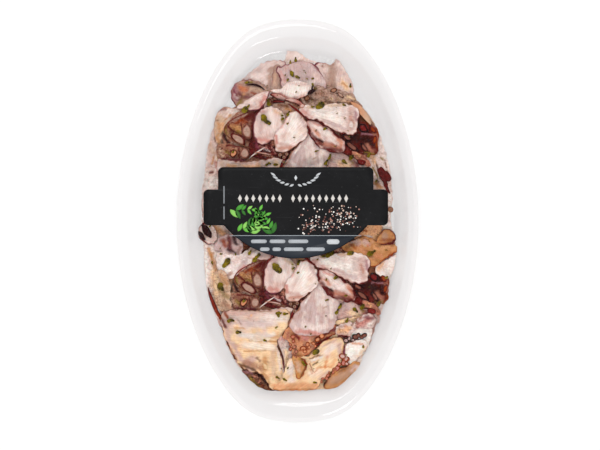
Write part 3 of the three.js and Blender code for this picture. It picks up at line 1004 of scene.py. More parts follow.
def soft_limit(value, limit, blend):
    """Value below limit - blend, then nearing the limit as 1 - exp does."""
    over = np.maximum(value - (limit - blend), 0)
    return np.minimum(value, limit - blend) + blend * (1 - np.exp(-over / blend))


def in_the_well(points):
    """The same points, squeezed below the film and inside the wall."""
    x, y, z = points.T
    z = soft_limit(z, HEAP_TOP, HEAP_TOP - SQUEEZE_FROM)
    angle = np.arctan2(y, x)
    share = np.clip((z - WALL) / (DEPTH - WALL), 0, 1)
    wall = np.interp(angle, ANGLES, FLOOR_REACH) * (1 - share)
    wall += np.interp(angle, ANGLES, MOUTH_REACH) * share
    low = np.clip(1 - (z - WALL) / FLOOR_ROUND, 0, 1)
    wall -= FLOOR_ROUND * (1 - np.sqrt(1 - low**2)) + HEAP_GAP
    radius = np.hypot(x, y)
    scale = soft_limit(radius, wall, WALL_BLEND) / np.maximum(radius, 1e-6)
    return np.column_stack([x * scale, y * scale, z])


print(f"the well reaches {MOUTH_REACH.min():.1f} to {MOUTH_REACH.max():.1f} mm from its middle")

# %% [markdown]
# ## What is known about a slice
#
# A slice is given by its outline or, if it is a narrow fold, by its spine and widths. Everything
# else has a usual value. Strokes are soft marks on it, from one place to another. Each has a
# colour, and may stand up as a ridge or sink in as a crease.

# %% Facts about a slice
USUAL = {
    "flesh": "rose",
    "tip": None,  # flesh at the far end of a fold
    "skin": "maroon",
    "thick": 1.4,
    "veins": 0.15,  # how much the winding veins show
    "swell": 0.3,  # height of the waves in its face
    "ruffle": 0.2,  # height of the waves along its rim
    "stiff": 5,
    "fibre": None,  # direction in degrees, or the place from which fibres fan out, or none
    "heart": None,  # place from which the whole outline can be seen, if not its middle
    "strokes": (),
    "grain": 0.5,  # size of a face
    "ragged": 0.06,  # how uneven a fold's sides are
}
SKIN_WIDTH = 0.2  # usual width of the skin along an edge
FOLD_SKIN = (0.5, 0.5)  # and on the left and on the right of a fold
FOLD_THICK = 1.3


def sheet(outline, flesh, strokes=(), **more):
    """A slice with an outline. A point is x, y and, if it differs, the skin's width there."""
    points = np.array([(*place, SKIN_WIDTH)[:3] for place in outline])
    return {**USUAL, "outline": points, "flesh": flesh, "strokes": strokes, **more}


def fold(start, end, bend, widths, flesh, tip=None, rim=FOLD_SKIN, **more):
    """A narrow slice along a spine. Rim is the skin's width on the left and on the right."""
    spine = {"start": start, "end": end, "bend": bend, "widths": widths, "rim": rim, "tip": tip}
    return {**USUAL, "thick": FOLD_THICK, **spine, "flesh": flesh, **more}


def shifted(place, by):
    """A place moved by a step."""
    return (place[0] + by[0], place[1] + by[1])


def moved(facts, by):
    """The same slice in another place."""
    copy = dict(facts)
    if "outline" in facts:
        copy["outline"] = facts["outline"] + (*by, 0)
    for name in ("start", "end", "fibre", "heart"):
        if isinstance(facts.get(name), tuple):
            copy[name] = shifted(facts[name], by)
    copy["strokes"] = [(shifted(a, by), shifted(b, by), *rest) for a, b, *rest in facts["strokes"]]
    return copy


print(len(USUAL), "facts have a usual value")

# %% [markdown]
# More than sixty slices have an outline and strokes of their own, so they are written in a short
# notation. A slice is a paragraph. Its first line says its kind, its flesh and each fact that isn't
# usual, and for a fold its spine, bend and widths. Below it stand a sheet's outline and then its
# strokes, each after a semicolon.

# %% Reading the notation
USUAL_STROKE = [0.9, 0.0]  # strength and rise


def value_in(word):
    """A number, a tuple of numbers set apart by commas, or a name."""
    try:
        numbers = tuple(float(number) for number in word.split(","))
    except ValueError:
        return word
    return numbers if len(numbers) > 1 else numbers[0]


def values_in(text):
    """The values of words that are set apart by blanks."""
    return [value_in(word) for word in text.split()]


def stroke_in(text):
    """Start, end (a round spot has none), width, colour and, if they aren't 0.9 and 0, strength
    and rise."""
    values = values_in(text)
    places = [value for value in values if isinstance(value, tuple)]
    width, colour, *extra = values[len(places) :]
    strength, rise = extra + USUAL_STROKE[len(extra) :]
    return places[0], places[-1], width, colour, strength, rise


def slice_in(paragraph):
    """The facts of one slice."""
    first_line, _, body = paragraph.partition("\n")
    kind, *words = first_line.split()
    plain = [value_in(word) for word in words if "=" not in word]
    named = dict(word.split("=") for word in words if "=" in word)
    named = {name: value_in(word) for name, word in named.items()}
    if kind == "fold":
        return fold(*plain, **named)
    outline, *strokes = body.split(";")
    return sheet(values_in(outline), *plain, [stroke_in(stroke) for stroke in strokes], **named)


def slices_in(text):
    """The facts of slices, whose paragraphs are set apart by empty lines."""
    slices = [slice_in(paragraph) for paragraph in text.strip().split("\n\n")]
    print(len(slices), "slices,", sum(len(facts["strokes"]) for facts in slices), "strokes")
    return slices


print("a stroke:", stroke_in("-28,74 -20,80 1.8 grey 0.5"))

# %% [markdown]
# ## Laying one slice
#
# Both kinds of slice end in the same step. For each point it is known whether it is on the upper
# face and how far inside the rim it lies. That gives its height over the bed, the colour of flesh
# and skin, and how much of the skin shows.

# %% Marks and fibres of a slice
def stroke_share(start, end, width, x, y, seed):
    """How strongly a stroke shows at each place: exp(-(d / width)^3) with d the distance from it.
    Its border wavers by a third."""
    ax, ay = start
    run = np.array(end) - start
    size = max(run @ run, 1e-9)
    t = np.clip(((x - ax) * run[0] + (y - ay) * run[1]) / size, 0, 1)
    distance = np.hypot(x - ax - t * run[0], y - ay - t * run[1])
    reach = width * (1 + 0.33 * swell(x, y, 2.2 * width + 1, seed))
    return np.exp(-((distance / np.maximum(reach, 0.1)) ** 3))


def fibre_place(fibre, x, y):
    """Millimetres along and across the fibres. Without fibres the pattern is equal both ways."""
    if fibre is None:
        return np.stack([x * 5, y * 0.6], -1)
    if isinstance(fibre, float):
        return np.stack(turned(0, 0, x, y, -math.radians(fibre)), -1)
    dx = x - fibre[0]
    dy = y - fibre[1]
    away = np.hypot(dx, dy)
    return np.stack([away, np.arctan2(dy, dx) * away.mean()], -1)


# %% Settle a slice
FLATNESS = 0.72  # how far the film presses the slices flat
SINK = 0.12  # how far a slice sinks into its bed
RIM_COLOUR_AND_SHADE = 0.36  # how much of the skin's colour shows near the rim: partly the flesh's own blush, partly painted shade along the edge
RIM_COLOUR_AND_SHADE_REACH = 1.5
SEED_STEP = 1.7  # moves the fibres' pattern along from slice to slice


def settle(facts, x, y, above, inside, rim, share, seed):
    """Heights and layers of a slice.

    With w = sqrt(1 - (1 - inside / (0.6 thick))^2), from 0 at the rim to 1, the upper face lies at
    bed + thick (0.2 + 0.8 w) and the lower one at bed + 0.2 thick (1 - w).
    """
    thick = facts["thick"] * FLATNESS
    full = np.sqrt(1 - (1 - np.clip(inside / (0.6 * thick), 0, 1)) ** 2)
    waves = facts["swell"] * (swell(x, y, 8, seed) + 0.35 * swell(x, y, 3, seed + 1))
    crimp = facts["ruffle"] * np.exp(-inside / 1.2) * (1 + swell(x, y, 4, seed + 2))
    lift = waves * full + crimp
    way = (share * share * (3 - 2 * share))[..., None]
    flesh = paint(facts["flesh"]) * (1 - way) + paint(facts["tip"] or facts["flesh"]) * way
    for k, (start, end, width, colour, strength, rise) in enumerate(facts["strokes"]):
        shown = stroke_share(start, end, width, x, y, seed + 20 + k)
        lift = lift + rise * shown
        shown = (shown * strength)[..., None]
        flesh = flesh * (1 - shown) + paint(colour) * shown
    bed = bed_under(x, y, facts["stiff"]) - SINK + np.maximum(lift, -0.5 * thick)
    z = np.where(above, bed + thick * (0.2 + 0.8 * full), bed + thick * 0.2 * (1 - full))
    top = above & np.ones(x.shape, bool)
    raise_field(x[top], y[top], z[top])
    waver = 1 + 0.3 * swell(x, y, 5, seed + 6)
    faint = np.clip(0.9 + 0.6 * swell(x, y, 9, seed + 9), 0.35, 1) * np.clip(rim / 0.4, 0, 1)
    skin = np.exp(-0.7 * (inside / np.maximum(rim * waver, 0.03)) ** 2)
    # Besides the skin, the edge mask gets a wide rim term that is partly the flesh's own blush and
    # partly painted shade along the edge.
    edge = np.maximum(skin, RIM_COLOUR_AND_SHADE * np.exp(-inside / RIM_COLOUR_AND_SHADE_REACH)) * faint
    layers = {
        "Edge": edge,
        "Flesh": flesh,
        "Skin": np.broadcast_to(paint(facts["skin"]), flesh.shape),
        "Veins": np.full(edge.shape, facts["veins"]),
        "Fibre": fibre_place(facts["fibre"], x, y) + seed * SEED_STEP,
    }
    return np.stack([x, y, z], -1), layers


def closed_up(rings, layers, first, last):
    """The skin of a slice, whose first and last ring shrink to a point."""
    points, quads, triangles = loft(rings[first:last], rings[0].mean(0), rings[-1].mean(0))
    flat = {}
    for name, values in layers.items():
        body = values[first:last].reshape(-1, *values.shape[2:])
        flat[name] = np.concatenate([body, values[:1].mean(1), values[-1:].mean(1)])
    return points, quads, triangles, flat


# %% [markdown]
# ## A slice from its outline
#
# The outline is a smooth closed curve through the given points. Rings shrink from it towards its
# middle, close together near the rim, where the flesh turns down.

# %% Smooth outline
CURVE_STEPS = 24  # between two given points


def curve_between(a, b, c, d, f):
    """Catmull and Rom's cubic at share f of the way from b to c, with a before and d after."""
    return b + f * (c - a + f * (2 * a - 5 * b + 4 * c - d + f * (3 * (b - c) + d - a))) / 2


def closed_curve(points, step):
    """The smooth curve through points, as samples that are `step` apart."""
    place = np.arange(len(points) * CURVE_STEPS) / CURVE_STEPS
    i = place.astype(int)
    around = [points[(i + k) % len(points)] for k in (-1, 0, 1, 2)]
    curve = curve_between(*around, (place - i)[:, None])
    ahead = np.roll(curve, -1, axis=0)
    passed = np.concatenate([[0], np.cumsum(np.hypot(*(ahead - curve)[:, :2].T))])
    samples = max(int(passed[-1] / step), 20)
    even = np.arange(samples) / samples * passed[-1]
    full = np.concatenate([curve, curve[:1]])
    return np.column_stack([np.interp(even, passed, full[:, k]) for k in range(full.shape[1])])


def area_steps(edge):
    """Twice the area between the origin and each step of an outline, and the next points."""
    ahead = np.roll(edge, -1, axis=0)
    return edge[:, 0] * ahead[:, 1] - ahead[:, 0] * edge[:, 1], ahead


square = closed_curve(np.array([(0, 0), (10, 0), (10, 10), (0, 10.0)]), 0.5)
print(f"{len(square)} samples hold {area_steps(square)[0].sum() / 2:.0f} square mm")

# %% Slice from an outline
OVERLAP = 0.4  # how far a slice reaches past its outline, so that no gap opens to the next
WOBBLE = 0.22  # how far a cut edge strays from the smooth curve
WOBBLE_SIZE = 3.2
BELOW = (0.1, 0.6, 0.93)  # shares of the outline at which the lower face has rings
RING_CROWD = 1.5
LAST_RING = 0.97


def lay_sheet(facts, seed):
    """Lays a slice with an outline on the heap and returns its shape.

    Ring k of n on the upper face lies at share 1 - 0.97 (k / n)^1.5 of the way from the heart.
    """
    edge = closed_curve(facts["outline"], facts["grain"])
    if area_steps(edge)[0].sum() < 0:
        edge = edge[::-1]
    cross, ahead = area_steps(edge)
    middle = [((edge[:, k] + ahead[:, k]) * cross).sum() / (3 * cross.sum()) for k in (0, 1)]
    heart_x, heart_y = facts["heart"] or middle
    x = edge[:, 0] + WOBBLE * swell(edge[:, 0], edge[:, 1], WOBBLE_SIZE, seed + 7)
    y = edge[:, 1] + WOBBLE * swell(x, edge[:, 1], WOBBLE_SIZE, seed + 8)
    reach = np.hypot(x - heart_x, y - heart_y)
    x = x + (x - heart_x) / reach * OVERLAP
    y = y + (y - heart_y) / reach * OVERLAP
    count = int(np.clip(reach.mean() / facts["grain"], 6, 40))
    share_up = 1 - (np.arange(count + 1) / count) ** RING_CROWD * LAST_RING
    share = np.concatenate([BELOW, share_up])[:, None]
    above = np.arange(len(share))[:, None] >= len(BELOW)
    px = heart_x + (x - heart_x) * share
    py = heart_y + (y - heart_y) * share
    gap = np.hypot(px[..., None] - x, py[..., None] - y)
    nearest = gap.argmin(-1)
    inside = np.take_along_axis(gap, nearest[..., None], -1)[..., 0]
    inside = np.where(share >= 1, 0, inside)
    rings, layers = settle(facts, px, py, above, inside, edge[nearest, 2], 0 * px, seed)
    return closed_up(rings, layers, 0, len(rings))


# %% [markdown]
# ## A slice along a spine
#
# A fold lies along a bowed spine from one place to another. Share u runs along it and v across
# it, from 1 on the left to -1 on the right. Its widths at four places are joined by a curve.

# %% Slice along a spine
def crowded(count, crowd=0.72):
    """Numbers from 0 to 1, closer together near both: t - crowd sin(2 pi t) / (2 pi)."""
    t = np.linspace(0, 1, count)
    return t - crowd * np.sin(2 * np.pi * t) / (2 * np.pi)


def along(values, t):
    """The smooth curve through equally spaced values, at shares t."""
    last = len(values) - 1
    place = np.clip(t, 0, 1) * last
    i = np.minimum(place.astype(int), last - 1)
    around = [values[np.clip(i + k, 0, last)] for k in (-1, 0, 1, 2)]
    return curve_between(*around, place - i)


def lay_fold(facts, seed):
    """Lays a fold on the heap and returns its shape.

    The spine is start + u d + n bend 4 u (1 - u) with n the normal of d. A ring runs over the top
    from v = 1 to -1 and back below, at v half(u) from the spine.
    """
    start = np.array(facts["start"], float)
    way = np.array(facts["end"], float) - start
    bend = facts["bend"]
    length = np.hypot(*way)
    normal = np.array([-way[1], way[0]]) / length
    widths = np.array(facts["widths"], float)
    travel = length + 2 * abs(bend)
    rows = int(np.clip(travel / facts["grain"], 9, 90))
    columns = int(np.clip(widths.max() / facts["grain"], 7, 50))
    u = crowded(rows)[:, None]
    v_top = 1 - 2 * crowded(columns)
    v = np.concatenate([v_top, -v_top[1:-1:2]])[None, :]
    above = np.arange(v.size)[None, :] < columns
    ends = np.sqrt(np.clip(1 - np.abs(2 * u - 1) ** 4, 0, 1))
    rough = swell(u * travel, v * 3, 8, seed) + 0.5 * swell(u * travel, v * 3, 3, seed + 1)
    half = along(widths, u) / 2 * ends * (1 + facts["ragged"] * rough)
    lean = (bend * 4 * (1 - 2 * u) / length)[..., None]
    across = normal - lean * way / length
    across = across / np.linalg.norm(across, axis=-1, keepdims=True)
    spine = start + u[..., None] * way + (bend * 4 * u * (1 - u))[..., None] * normal
    flat = spine + across * (half * v)[..., None]
    x = flat[..., 0]
    y = flat[..., 1]
    inside = np.minimum(half * (1 - np.abs(v)), np.minimum(u, 1 - u) * travel * 0.8)
    rim = np.where(v > 0, facts["rim"][0], facts["rim"][1]) + 0 * x
    share = np.clip(u + 0.12 * swell(x, y, 9, seed + 7), 0, 1)
    rings, layers = settle(facts, x, y, above, inside, rim, share, seed)
    layers["Fibre"] = np.stack([u * travel + 0 * x, half * v], -1) + seed * SEED_STEP
    return closed_up(rings, layers, 1, len(rings) - 1)


def lay(facts, seed):
    """Lays a slice of either kind."""
    return lay_sheet(facts, seed) if "outline" in facts else lay_fold(facts, seed)


print("crowded shares:", crowded(5).round(2))

# %% [markdown]
# ## Under the heap
#
# From below, the tray shows the first slices, pressed flat on its floor. On them stands a low
# core that carries the rest of the heap. Its surface is painted dark umber and maroon, so that the
# deep gaps between the slices above show it as painted shade.

# %% Under the heap
FLOOR_FLESH = ("rose", "shell", "lilac", "ivory", "rose", "shell", "ivory")
FLOOR_SKINS = ("plum", "maroon", "umber")
FLOOR_ROWS = 15.0 * np.arange(11) - 80
FLOOR_WIDTH = ((-90, -60, 0, 40, 75), (22, 33, 41, 34, 14))  # at these Y, half the floor's width
FLOOR_PITCH = 17


def floor_slices():
    """Round slices in rows over the floor, each of a size and colour drawn from one seed."""
    draw = np.random.default_rng(41)
    slices = []
    for y in FLOOR_ROWS:
        room = np.interp(y, *FLOOR_WIDTH)
        count = int(room * 2 / FLOOR_PITCH) + 1
        for k in range(count):
            x = (2 * k / max(count - 1, 1) - 1) * room * 0.88 + draw.uniform(-2, 2)
            size = draw.uniform(10.5, 15)
            angle = full_turn(7) + draw.uniform(0, 1)
            reach = size * draw.uniform(0.75, 1.15, 7)
            outline = [(x + r * math.cos(a), y + r * math.sin(a)) for r, a in zip(reach, angle)]
            flesh = FLOOR_FLESH[draw.integers(len(FLOOR_FLESH))]
            skin = FLOOR_SKINS[draw.integers(len(FLOOR_SKINS))]
            looks = {"skin": skin, "thick": 1.0, "swell": 0.1, "stiff": 10, "grain": 0.8}
            slices.append(sheet(outline, flesh, **looks))
    return slices


def lay_all(slices, first_seed):
    """Lays slices in their order, each with random waves of its own."""
    return [lay(facts, first_seed + 40 * k) for k, facts in enumerate(slices)]


under = lay_all(floor_slices(), 900)
print(f"{len(under)} slices on the floor, heap {height.max():.1f} mm")

# %% Core
CORE_INSET_X = 15.0
CORE_INSET_TOP = 25.0
CORE_INSET_LOW = 18.0
CORE_CROWN = 6.0
CORE_FOOT = TRAY_FLOOR + 0.3
CORE_AROUND = 160
CORE_RINGS = 60


def core_reach(up):
    """Half the core's length, on the side of the round end where `up` is positive."""
    return HALF_LENGTH - np.where(up > 0, CORE_INSET_TOP, CORE_INSET_LOW)


def core_height(x, y):
    """Dome: crown (1 - r^2.6)^0.6 with r the distance as a share of the core's reach."""
    r = np.hypot(x / (HALF_WIDTH - CORE_INSET_X), y / core_reach(y))
    dome = CORE_CROWN * np.clip(1 - r**2.6, 0, 1) ** 0.6
    return TRAY_FLOOR + dome * (1 + 0.1 * swell(x, y, 13, 77)) + np.where(r < 1, 0.4, 0)


def even_layers(points, edge, flesh, skin, veins):
    """Layers of a shape that has one flesh and one skin."""
    count = len(points)
    return {
        "Edge": edge,
        "Flesh": np.tile(paint(flesh), (count, 1)),
        "Skin": np.tile(paint(skin), (count, 1)),
        "Veins": np.full(count, veins),
        "Fibre": points[:, :2],
    }


def core_shape():
    """The dome's rings from its foot to its top, closed below."""
    angle = full_turn(CORE_AROUND)
    share = np.linspace(1, 0.02, CORE_RINGS)[:, None]
    x = np.cos(angle) * (HALF_WIDTH - CORE_INSET_X) * share
    y = np.sin(angle) * core_reach(np.sin(angle)) * share
    rings = np.stack([x, y, core_height(x, y)], -1)
    foot = rings[:1] * (1, 1, 0) + (0, 0, CORE_FOOT)
    shape = loft(np.concatenate([foot, rings]), (0, 0, CORE_FOOT), rings[-1].mean(0))
    edge = np.clip(0.35 + 0.3 * swell(shape[0][:, 0], shape[0][:, 1], 8, 5), 0, 0.8)
    # The core's dark umber and maroon is painted shade, seen in the gaps between the slices.
    return (*shape, even_layers(shape[0], edge, "umber", "maroon", 0.9))


height = np.maximum(height, core_height(*np.meshgrid(field_x, field_y)))
core = core_shape()
print(f"core {core[0][:, 2].max():.1f} mm high, heap {height.max():.1f} mm")

# %% [markdown]
# ## The arrangement
#
# The slices that show are laid in the order in which they overlap, from the bottom up. Numbers are
# millimetres from the middle of the tray. First come the broad pale sheets that lean against the
# well's wall, beside the label and below it.

# %% Sheets along the wall
# The rose and the umber sheet at the end of this list fill the space under the label and under the
# lower group. They are mid-tone, so that gaps between the slices over them read as painted shade.
SIDES = slices_in("""
sheet shell skin=umber thick=1.6 swell=0.5 veins=0.3
-43,57 -38,50 -36,40 -36,30 -34,18 -40,4 -49,1 -50.3,8,0.4 -50,17,0 -48.6,25,0 -48,33,0 -47,42,0
-45,50;
-47.5,44 -48.6,24 1.6 ivory; -45.5,19.5 3.2 white 0.95; -44,34 -45,30 0.6 tan 0.8;
-43,31 -41.5,26 0.9 blush 0.7; -46.4,25.2 -44.6,25.5 0.7 maroon; -43.2,44.4 -43,42 0.8 umber 0.8;
-46,40 -44.5,36 1.4 sand 0.7; -42.6,36 1 salmon 0.6; -42,33 -40,31 0.9 cream 0.9 0.3

sheet shell skin=umber thick=1.6 swell=0.5 veins=0.3
33,60,0 37,56.5,0 40.5,51,0 43,46,0 45.5,39,0 47.5,31,0 49,22 49.7,12 49,3 48,-4 40,-5 36,8 36,22
36,34 37,44 34,54;
44,42 48,28 1.6 ivory 0.95; 48.6,14 48.6,2 1 white 0.8; 41,31 43.5,24 0.5 bark;
43.5,24 41.4,20.8 0.5 bark; 39.6,28 42.4,22.6 0.5 olive; 42.2,20.8 0.8 ink;
42.6,22.6 0.8 white 0.9 0.3; 41,19.6 43.5,17.4 1.2 caramel; 43.6,33.6 45,32.2 0.6 olive 0.8;
46,32 46.8,28 0.4 umber 0.8; 38,55 41,49 1.4 sand; 38.6,34.6 40.6,31 1.3 peach 0.8

sheet ivory skin=umber thick=1.6 swell=0.5 veins=0.35
-49,2 -38,0 -30,-8 -28,-22 -32,-38 -34,-50 -38.5,-55 -42,-51 -45.5,-43,0 -47.6,-35,0 -48.6,-25,0
-49,-14,0 -50.5,-6,0;
-43.5,-4 -39,-6.5 2.2 tan; -44.6,-27 -43.6,-34 2 cream 0.95 0.4; -46.4,-15 -45,-19 1.3 tan;
-45,-19 -42.6,-26 1.4 caramel 0.8; -41,-28 -38,-46 2.6 tan; -40.5,-30 -39,-34 1 umber 0.6;
-42,-38 -40.4,-43 1.3 olive 0.5; -44.4,-37 -43,-44 0.9 sand 0.8; -38.6,-38 -37,-41 0.9 umber 0.7;
-48.3,-16 -48,-30 0.8 white; -41,-20 2.2 white

sheet ivory skin=umber thick=1.6 swell=0.5 veins=0.2
34,0 47,0 50,-5,0 51.6,-12,0 52,-18,0 50.8,-25,0 49,-31,0 47.6,-37 46,-43 42.5,-49 36,-44 33,-30
31,-14;
37,-2.4 44,-3.4 1.5 peach 0.95; 35.8,-5.2 0.8 orange; 37.6,-7.7 0.8 rust 0.8;
35.4,-7.6 39,-8.4 0.5 white 0.95 0.4; 40.6,-5 0.7 rust 0.5; 46,-2.4 49.5,-6 1.4 white 0.8;
39.8,-6.6 41.4,-9 0.9 cream 0.9 0.3; 46,-29 47.5,-33 0.8 olive 0.7

sheet rose skin=plum swell=0.4
-38,22 -20,27 0,25 20,27 37,22 37,4 30,-14 10,-20 -10,-20 -28,-14 -38,2

sheet maroon heart=45.8,22.6 skin=ink thick=1.1 veins=0.6
42.2,26.6 44,27.9 46.2,26.6 48.9,23.4 48.2,21.2 46.9,20.6 47.6,18 48.9,15 47.5,14.8 46.1,17.6
45,20.4 43.4,23

sheet umber thick=1.3 swell=0.5 veins=0.9
-34,-8 -10,-12 12,-12 36,-10 45,-28 42,-46 30,-54 4,-56 -20,-54 -36,-48 -40,-32
""")

# %% [markdown]
# At the round end lie broad sheets with a purple edge, and between them darker rolls with a black
# fold. They fan out towards the wall.

# %% Slices at the round end
TOP_END = slices_in("""
sheet ivory fibre=60 skin=salmon thick=1.1
-9,83,0 -6,85.5,0 -4.9,89.8 -1.5,89.6 1.5,87.8 5,85.5,0 10,83,0 7,78 -4,77 -9,79;
-8,83 -5,85 1.2 beige 0.5; -3,89 1.5 shell 0.6

sheet shell fibre=35 heart=-17,74 skin=mauve swell=0.2
-32,70 -27,76.2,0 -22,80.2,0 -17.5,83.2,0.3 -12,84.4,0.3 -6.5,83.2,0.4 -8,78 -11,72 -12.5,66.5
-18,64 -26,66;
-28,74 -20,80 1.8 grey 0.5; -14,80 -15,69 1.7 beige; -21,73 -17,70 1.3 beige 0.7;
-24,76 -19,76 2.2 ivory 0.8 0.5

sheet beige fibre=80 skin=plum thick=1.1
-10.3,82,0.3 -12.4,80,0.3 -12.9,75 -13.8,69.5 -11,67.5 -6,69 -6.5,74,0.4 -8.5,79,0.4;
-9,79 -7.8,72 0.8 mauve 0.7; -12,77 -12,71 0.9 sand 0.5

sheet beige fibre=-20 skin=plum thick=1.7 swell=0.4 veins=0.3
-34.3,70.3,0.6 -32.5,72.4,0.5 -28,74,0.4 -22,73.4,0.3 -17.8,71.4 -15.8,67.6 -20,65 -25,63 -28.5,61.5
-31.2,60,0.4 -33.4,62.3,0.5 -34.8,66,0.6;
-33.4,71 -32.8,65 1.7 mauve; -33.6,69 -31,64 0.5 plum; -31,67.4 -29.6,66 0.8 maroon 0.8;
-29.8,70 -26.6,68.6 1.7 orange 0.62 0.4; -33.4,66.4 -31.4,64.4 0.7 lilac 0.9 0.3;
-30,64 -26,66 1.2 umber 0.7; -24,69.6 -19.4,68.6 1.5 sand; -24,67.4 -21,66 0.8 rust 0.8;
-31.5,61 -30,63 1.1 olive 0.8; -27.4,64.8 -25,65 0.9 plum 0.6; -26.6,73 -24,73 0.6 olive;
-28,66.6 0.8 tan 0.8; -33.2,70.2 -31.6,67.8 0.9 mauve 0.7

fold -27.4,71.2 -17.2,68.6 1.7 0.4,1.1,1.1,0.7 ink ink skin=ink thick=0.9

sheet shell fibre=80 skin=plum swell=0.45
8.5,80.5,0.7 10.5,83,0.8 14.6,83,0.3 17,82 19.2,83.6,0 20.9,85.6,0 22.6,83,0 25,79,0 27.2,75.5,0
28.8,72 28.8,68 27,64 20,64 12,68 9,74;
17.4,82 18.4,71 3.2 beige 1; 22,83 27,76 1.1 ivory 0.8 0.4; 24,73 25.6,70 1.8 cream;
24,72.5 26,71 0.6 tan 0.8; 13.2,81.4 0.6 umber 0.8; 12,80 12.6,75 1.3 shell 0.8;
28,68.4 0.8 rose 0.8; 22.6,66 23.4,65.2 0.8 bark 0.8

sheet beige skin=bark swell=0.5 veins=0.5
14,68 18,70 24,68 28.5,66.5,0 31,63.5,0 34,60,0 30,57 22,59 14,60 12,64;
28.4,61.6 31.6,60.4 1.5 rust; 19,64 25,62.6 1.4 sand 0.9 0.3; 26,65.6 30,64 1 cream 0.8;
17,66 1.4 sand 0.8 0.5; 23.5,61 25.5,60.8 0.6 olive 0.8; 26.4,62.6 0.8 tan 0.8;
15,61.6 20,61.6 0.7 umber 0.7

sheet lilac fibre=88 heart=1.5,75 skin=plum
-10.4,81,0.4 -7.5,81,0.4 -4.5,82.6,0.4 0,83.7,0.3 5,83.4,0.3 8.7,82.2,0.5 11.5,78.5,0.4 14,74.3
14.6,71 10,67 0,66 -7,69,0.4 -8.8,75,0.7 -10.6,78.5,0.6;
-5,72.6 7,72.6 1.9 ivory; -8.8,78.5 -6.5,73 0.9 blush 0.5; 3,78 4,75 2.4 grey 0.7;
9,77 12,72.6 1.6 shell 0.8; 9.5,81 11.5,79 0.7 plum 0.7; -7,80 -2,81.4 0.8 rose 0.6;
-3.8,79 -2.6,76.6 0.5 mauve 0.8; -1,75.8 0.6,75 0.5 olive

sheet beige skin=bark swell=0.6 veins=0.55 ruffle=0.4
2.5,66 5,68 8,70 12,70.5 16,68 19.5,65 20.5,61.5 15,60 10,58.5 5,60 2.5,63;
6.5,67 8.9,68.6 1.2 ink 0.97; 3.6,65.6 5.5,62.5 1.3 bark 0.95; 12,62.4 18,62 0.9 umber 0.7;
6,64.4 9,63.2 0.9 bark; 14,63.8 17.5,62.8 0.7 bark; 8.3,71 9,69.5 0.8 olive 0.8;
10,66 13,66.5 0.9 fawn 0.8; 11,65 19,64 1.6 beige 0.9 0.3; 18,64.2 0.8 cream 0.6;
7.4,61.6 0.9 sand 0.8; 11,62.6 14.6,61.4 0.7 cream 0.6

sheet ivory fibre=75 heart=-2,68.5 skin=salmon thick=0.9 swell=0.25
-14.2,68.2,0.3 -10,69.3 -7,69.9,0 -5.5,72.2,0 -1,73.2,0 4,72.6,0 7.6,70.4,0 7.4,68.2,0 5,66.4
2,65,0.4 -1.5,63.9,0.5 -5,63.6,0.7 -8,65.8,0.8 -11.5,67,0.5;
-9,66.8 -5,64.6 0.9 blush 0.8; -2,64.6 3,65.6 0.9 rose; -5,67.5 3,69 2.2 white 0.9 0.4;
-4,72.4 6.6,71.4 0.9 shell; 6.4,68.5 1 lilac 0.8

fold 28,62.4 38.4,50.4 1.2 1.8,3.4,3.4,1.6 clay sand 0.1,0.1 skin=umber thick=1.2

fold 5.2,66.4 9.4,68.8 0.2 0.9,2,2,0.9 ink ink skin=ink thick=0.8

fold 7.6,68 8.4,72 0.3 0.8,1,0.9,0.5 ink plum skin=ink thick=0.7

fold -14.5,66.4 -5.5,63 0.6 1.6,2.6,2.6,1.8 blush rose 0.4,0.6

fold -7,63.4 3.4,59.8 1.4 1.4,2.2,2.4,1.8 rose blush 0.4,0.6
""")

# %% [markdown]
# One group lies in the tray twice, above the label and below it, so its slices are written once
# and laid at two places. Its bed is dark: rolls and cups that show between the slices on top.

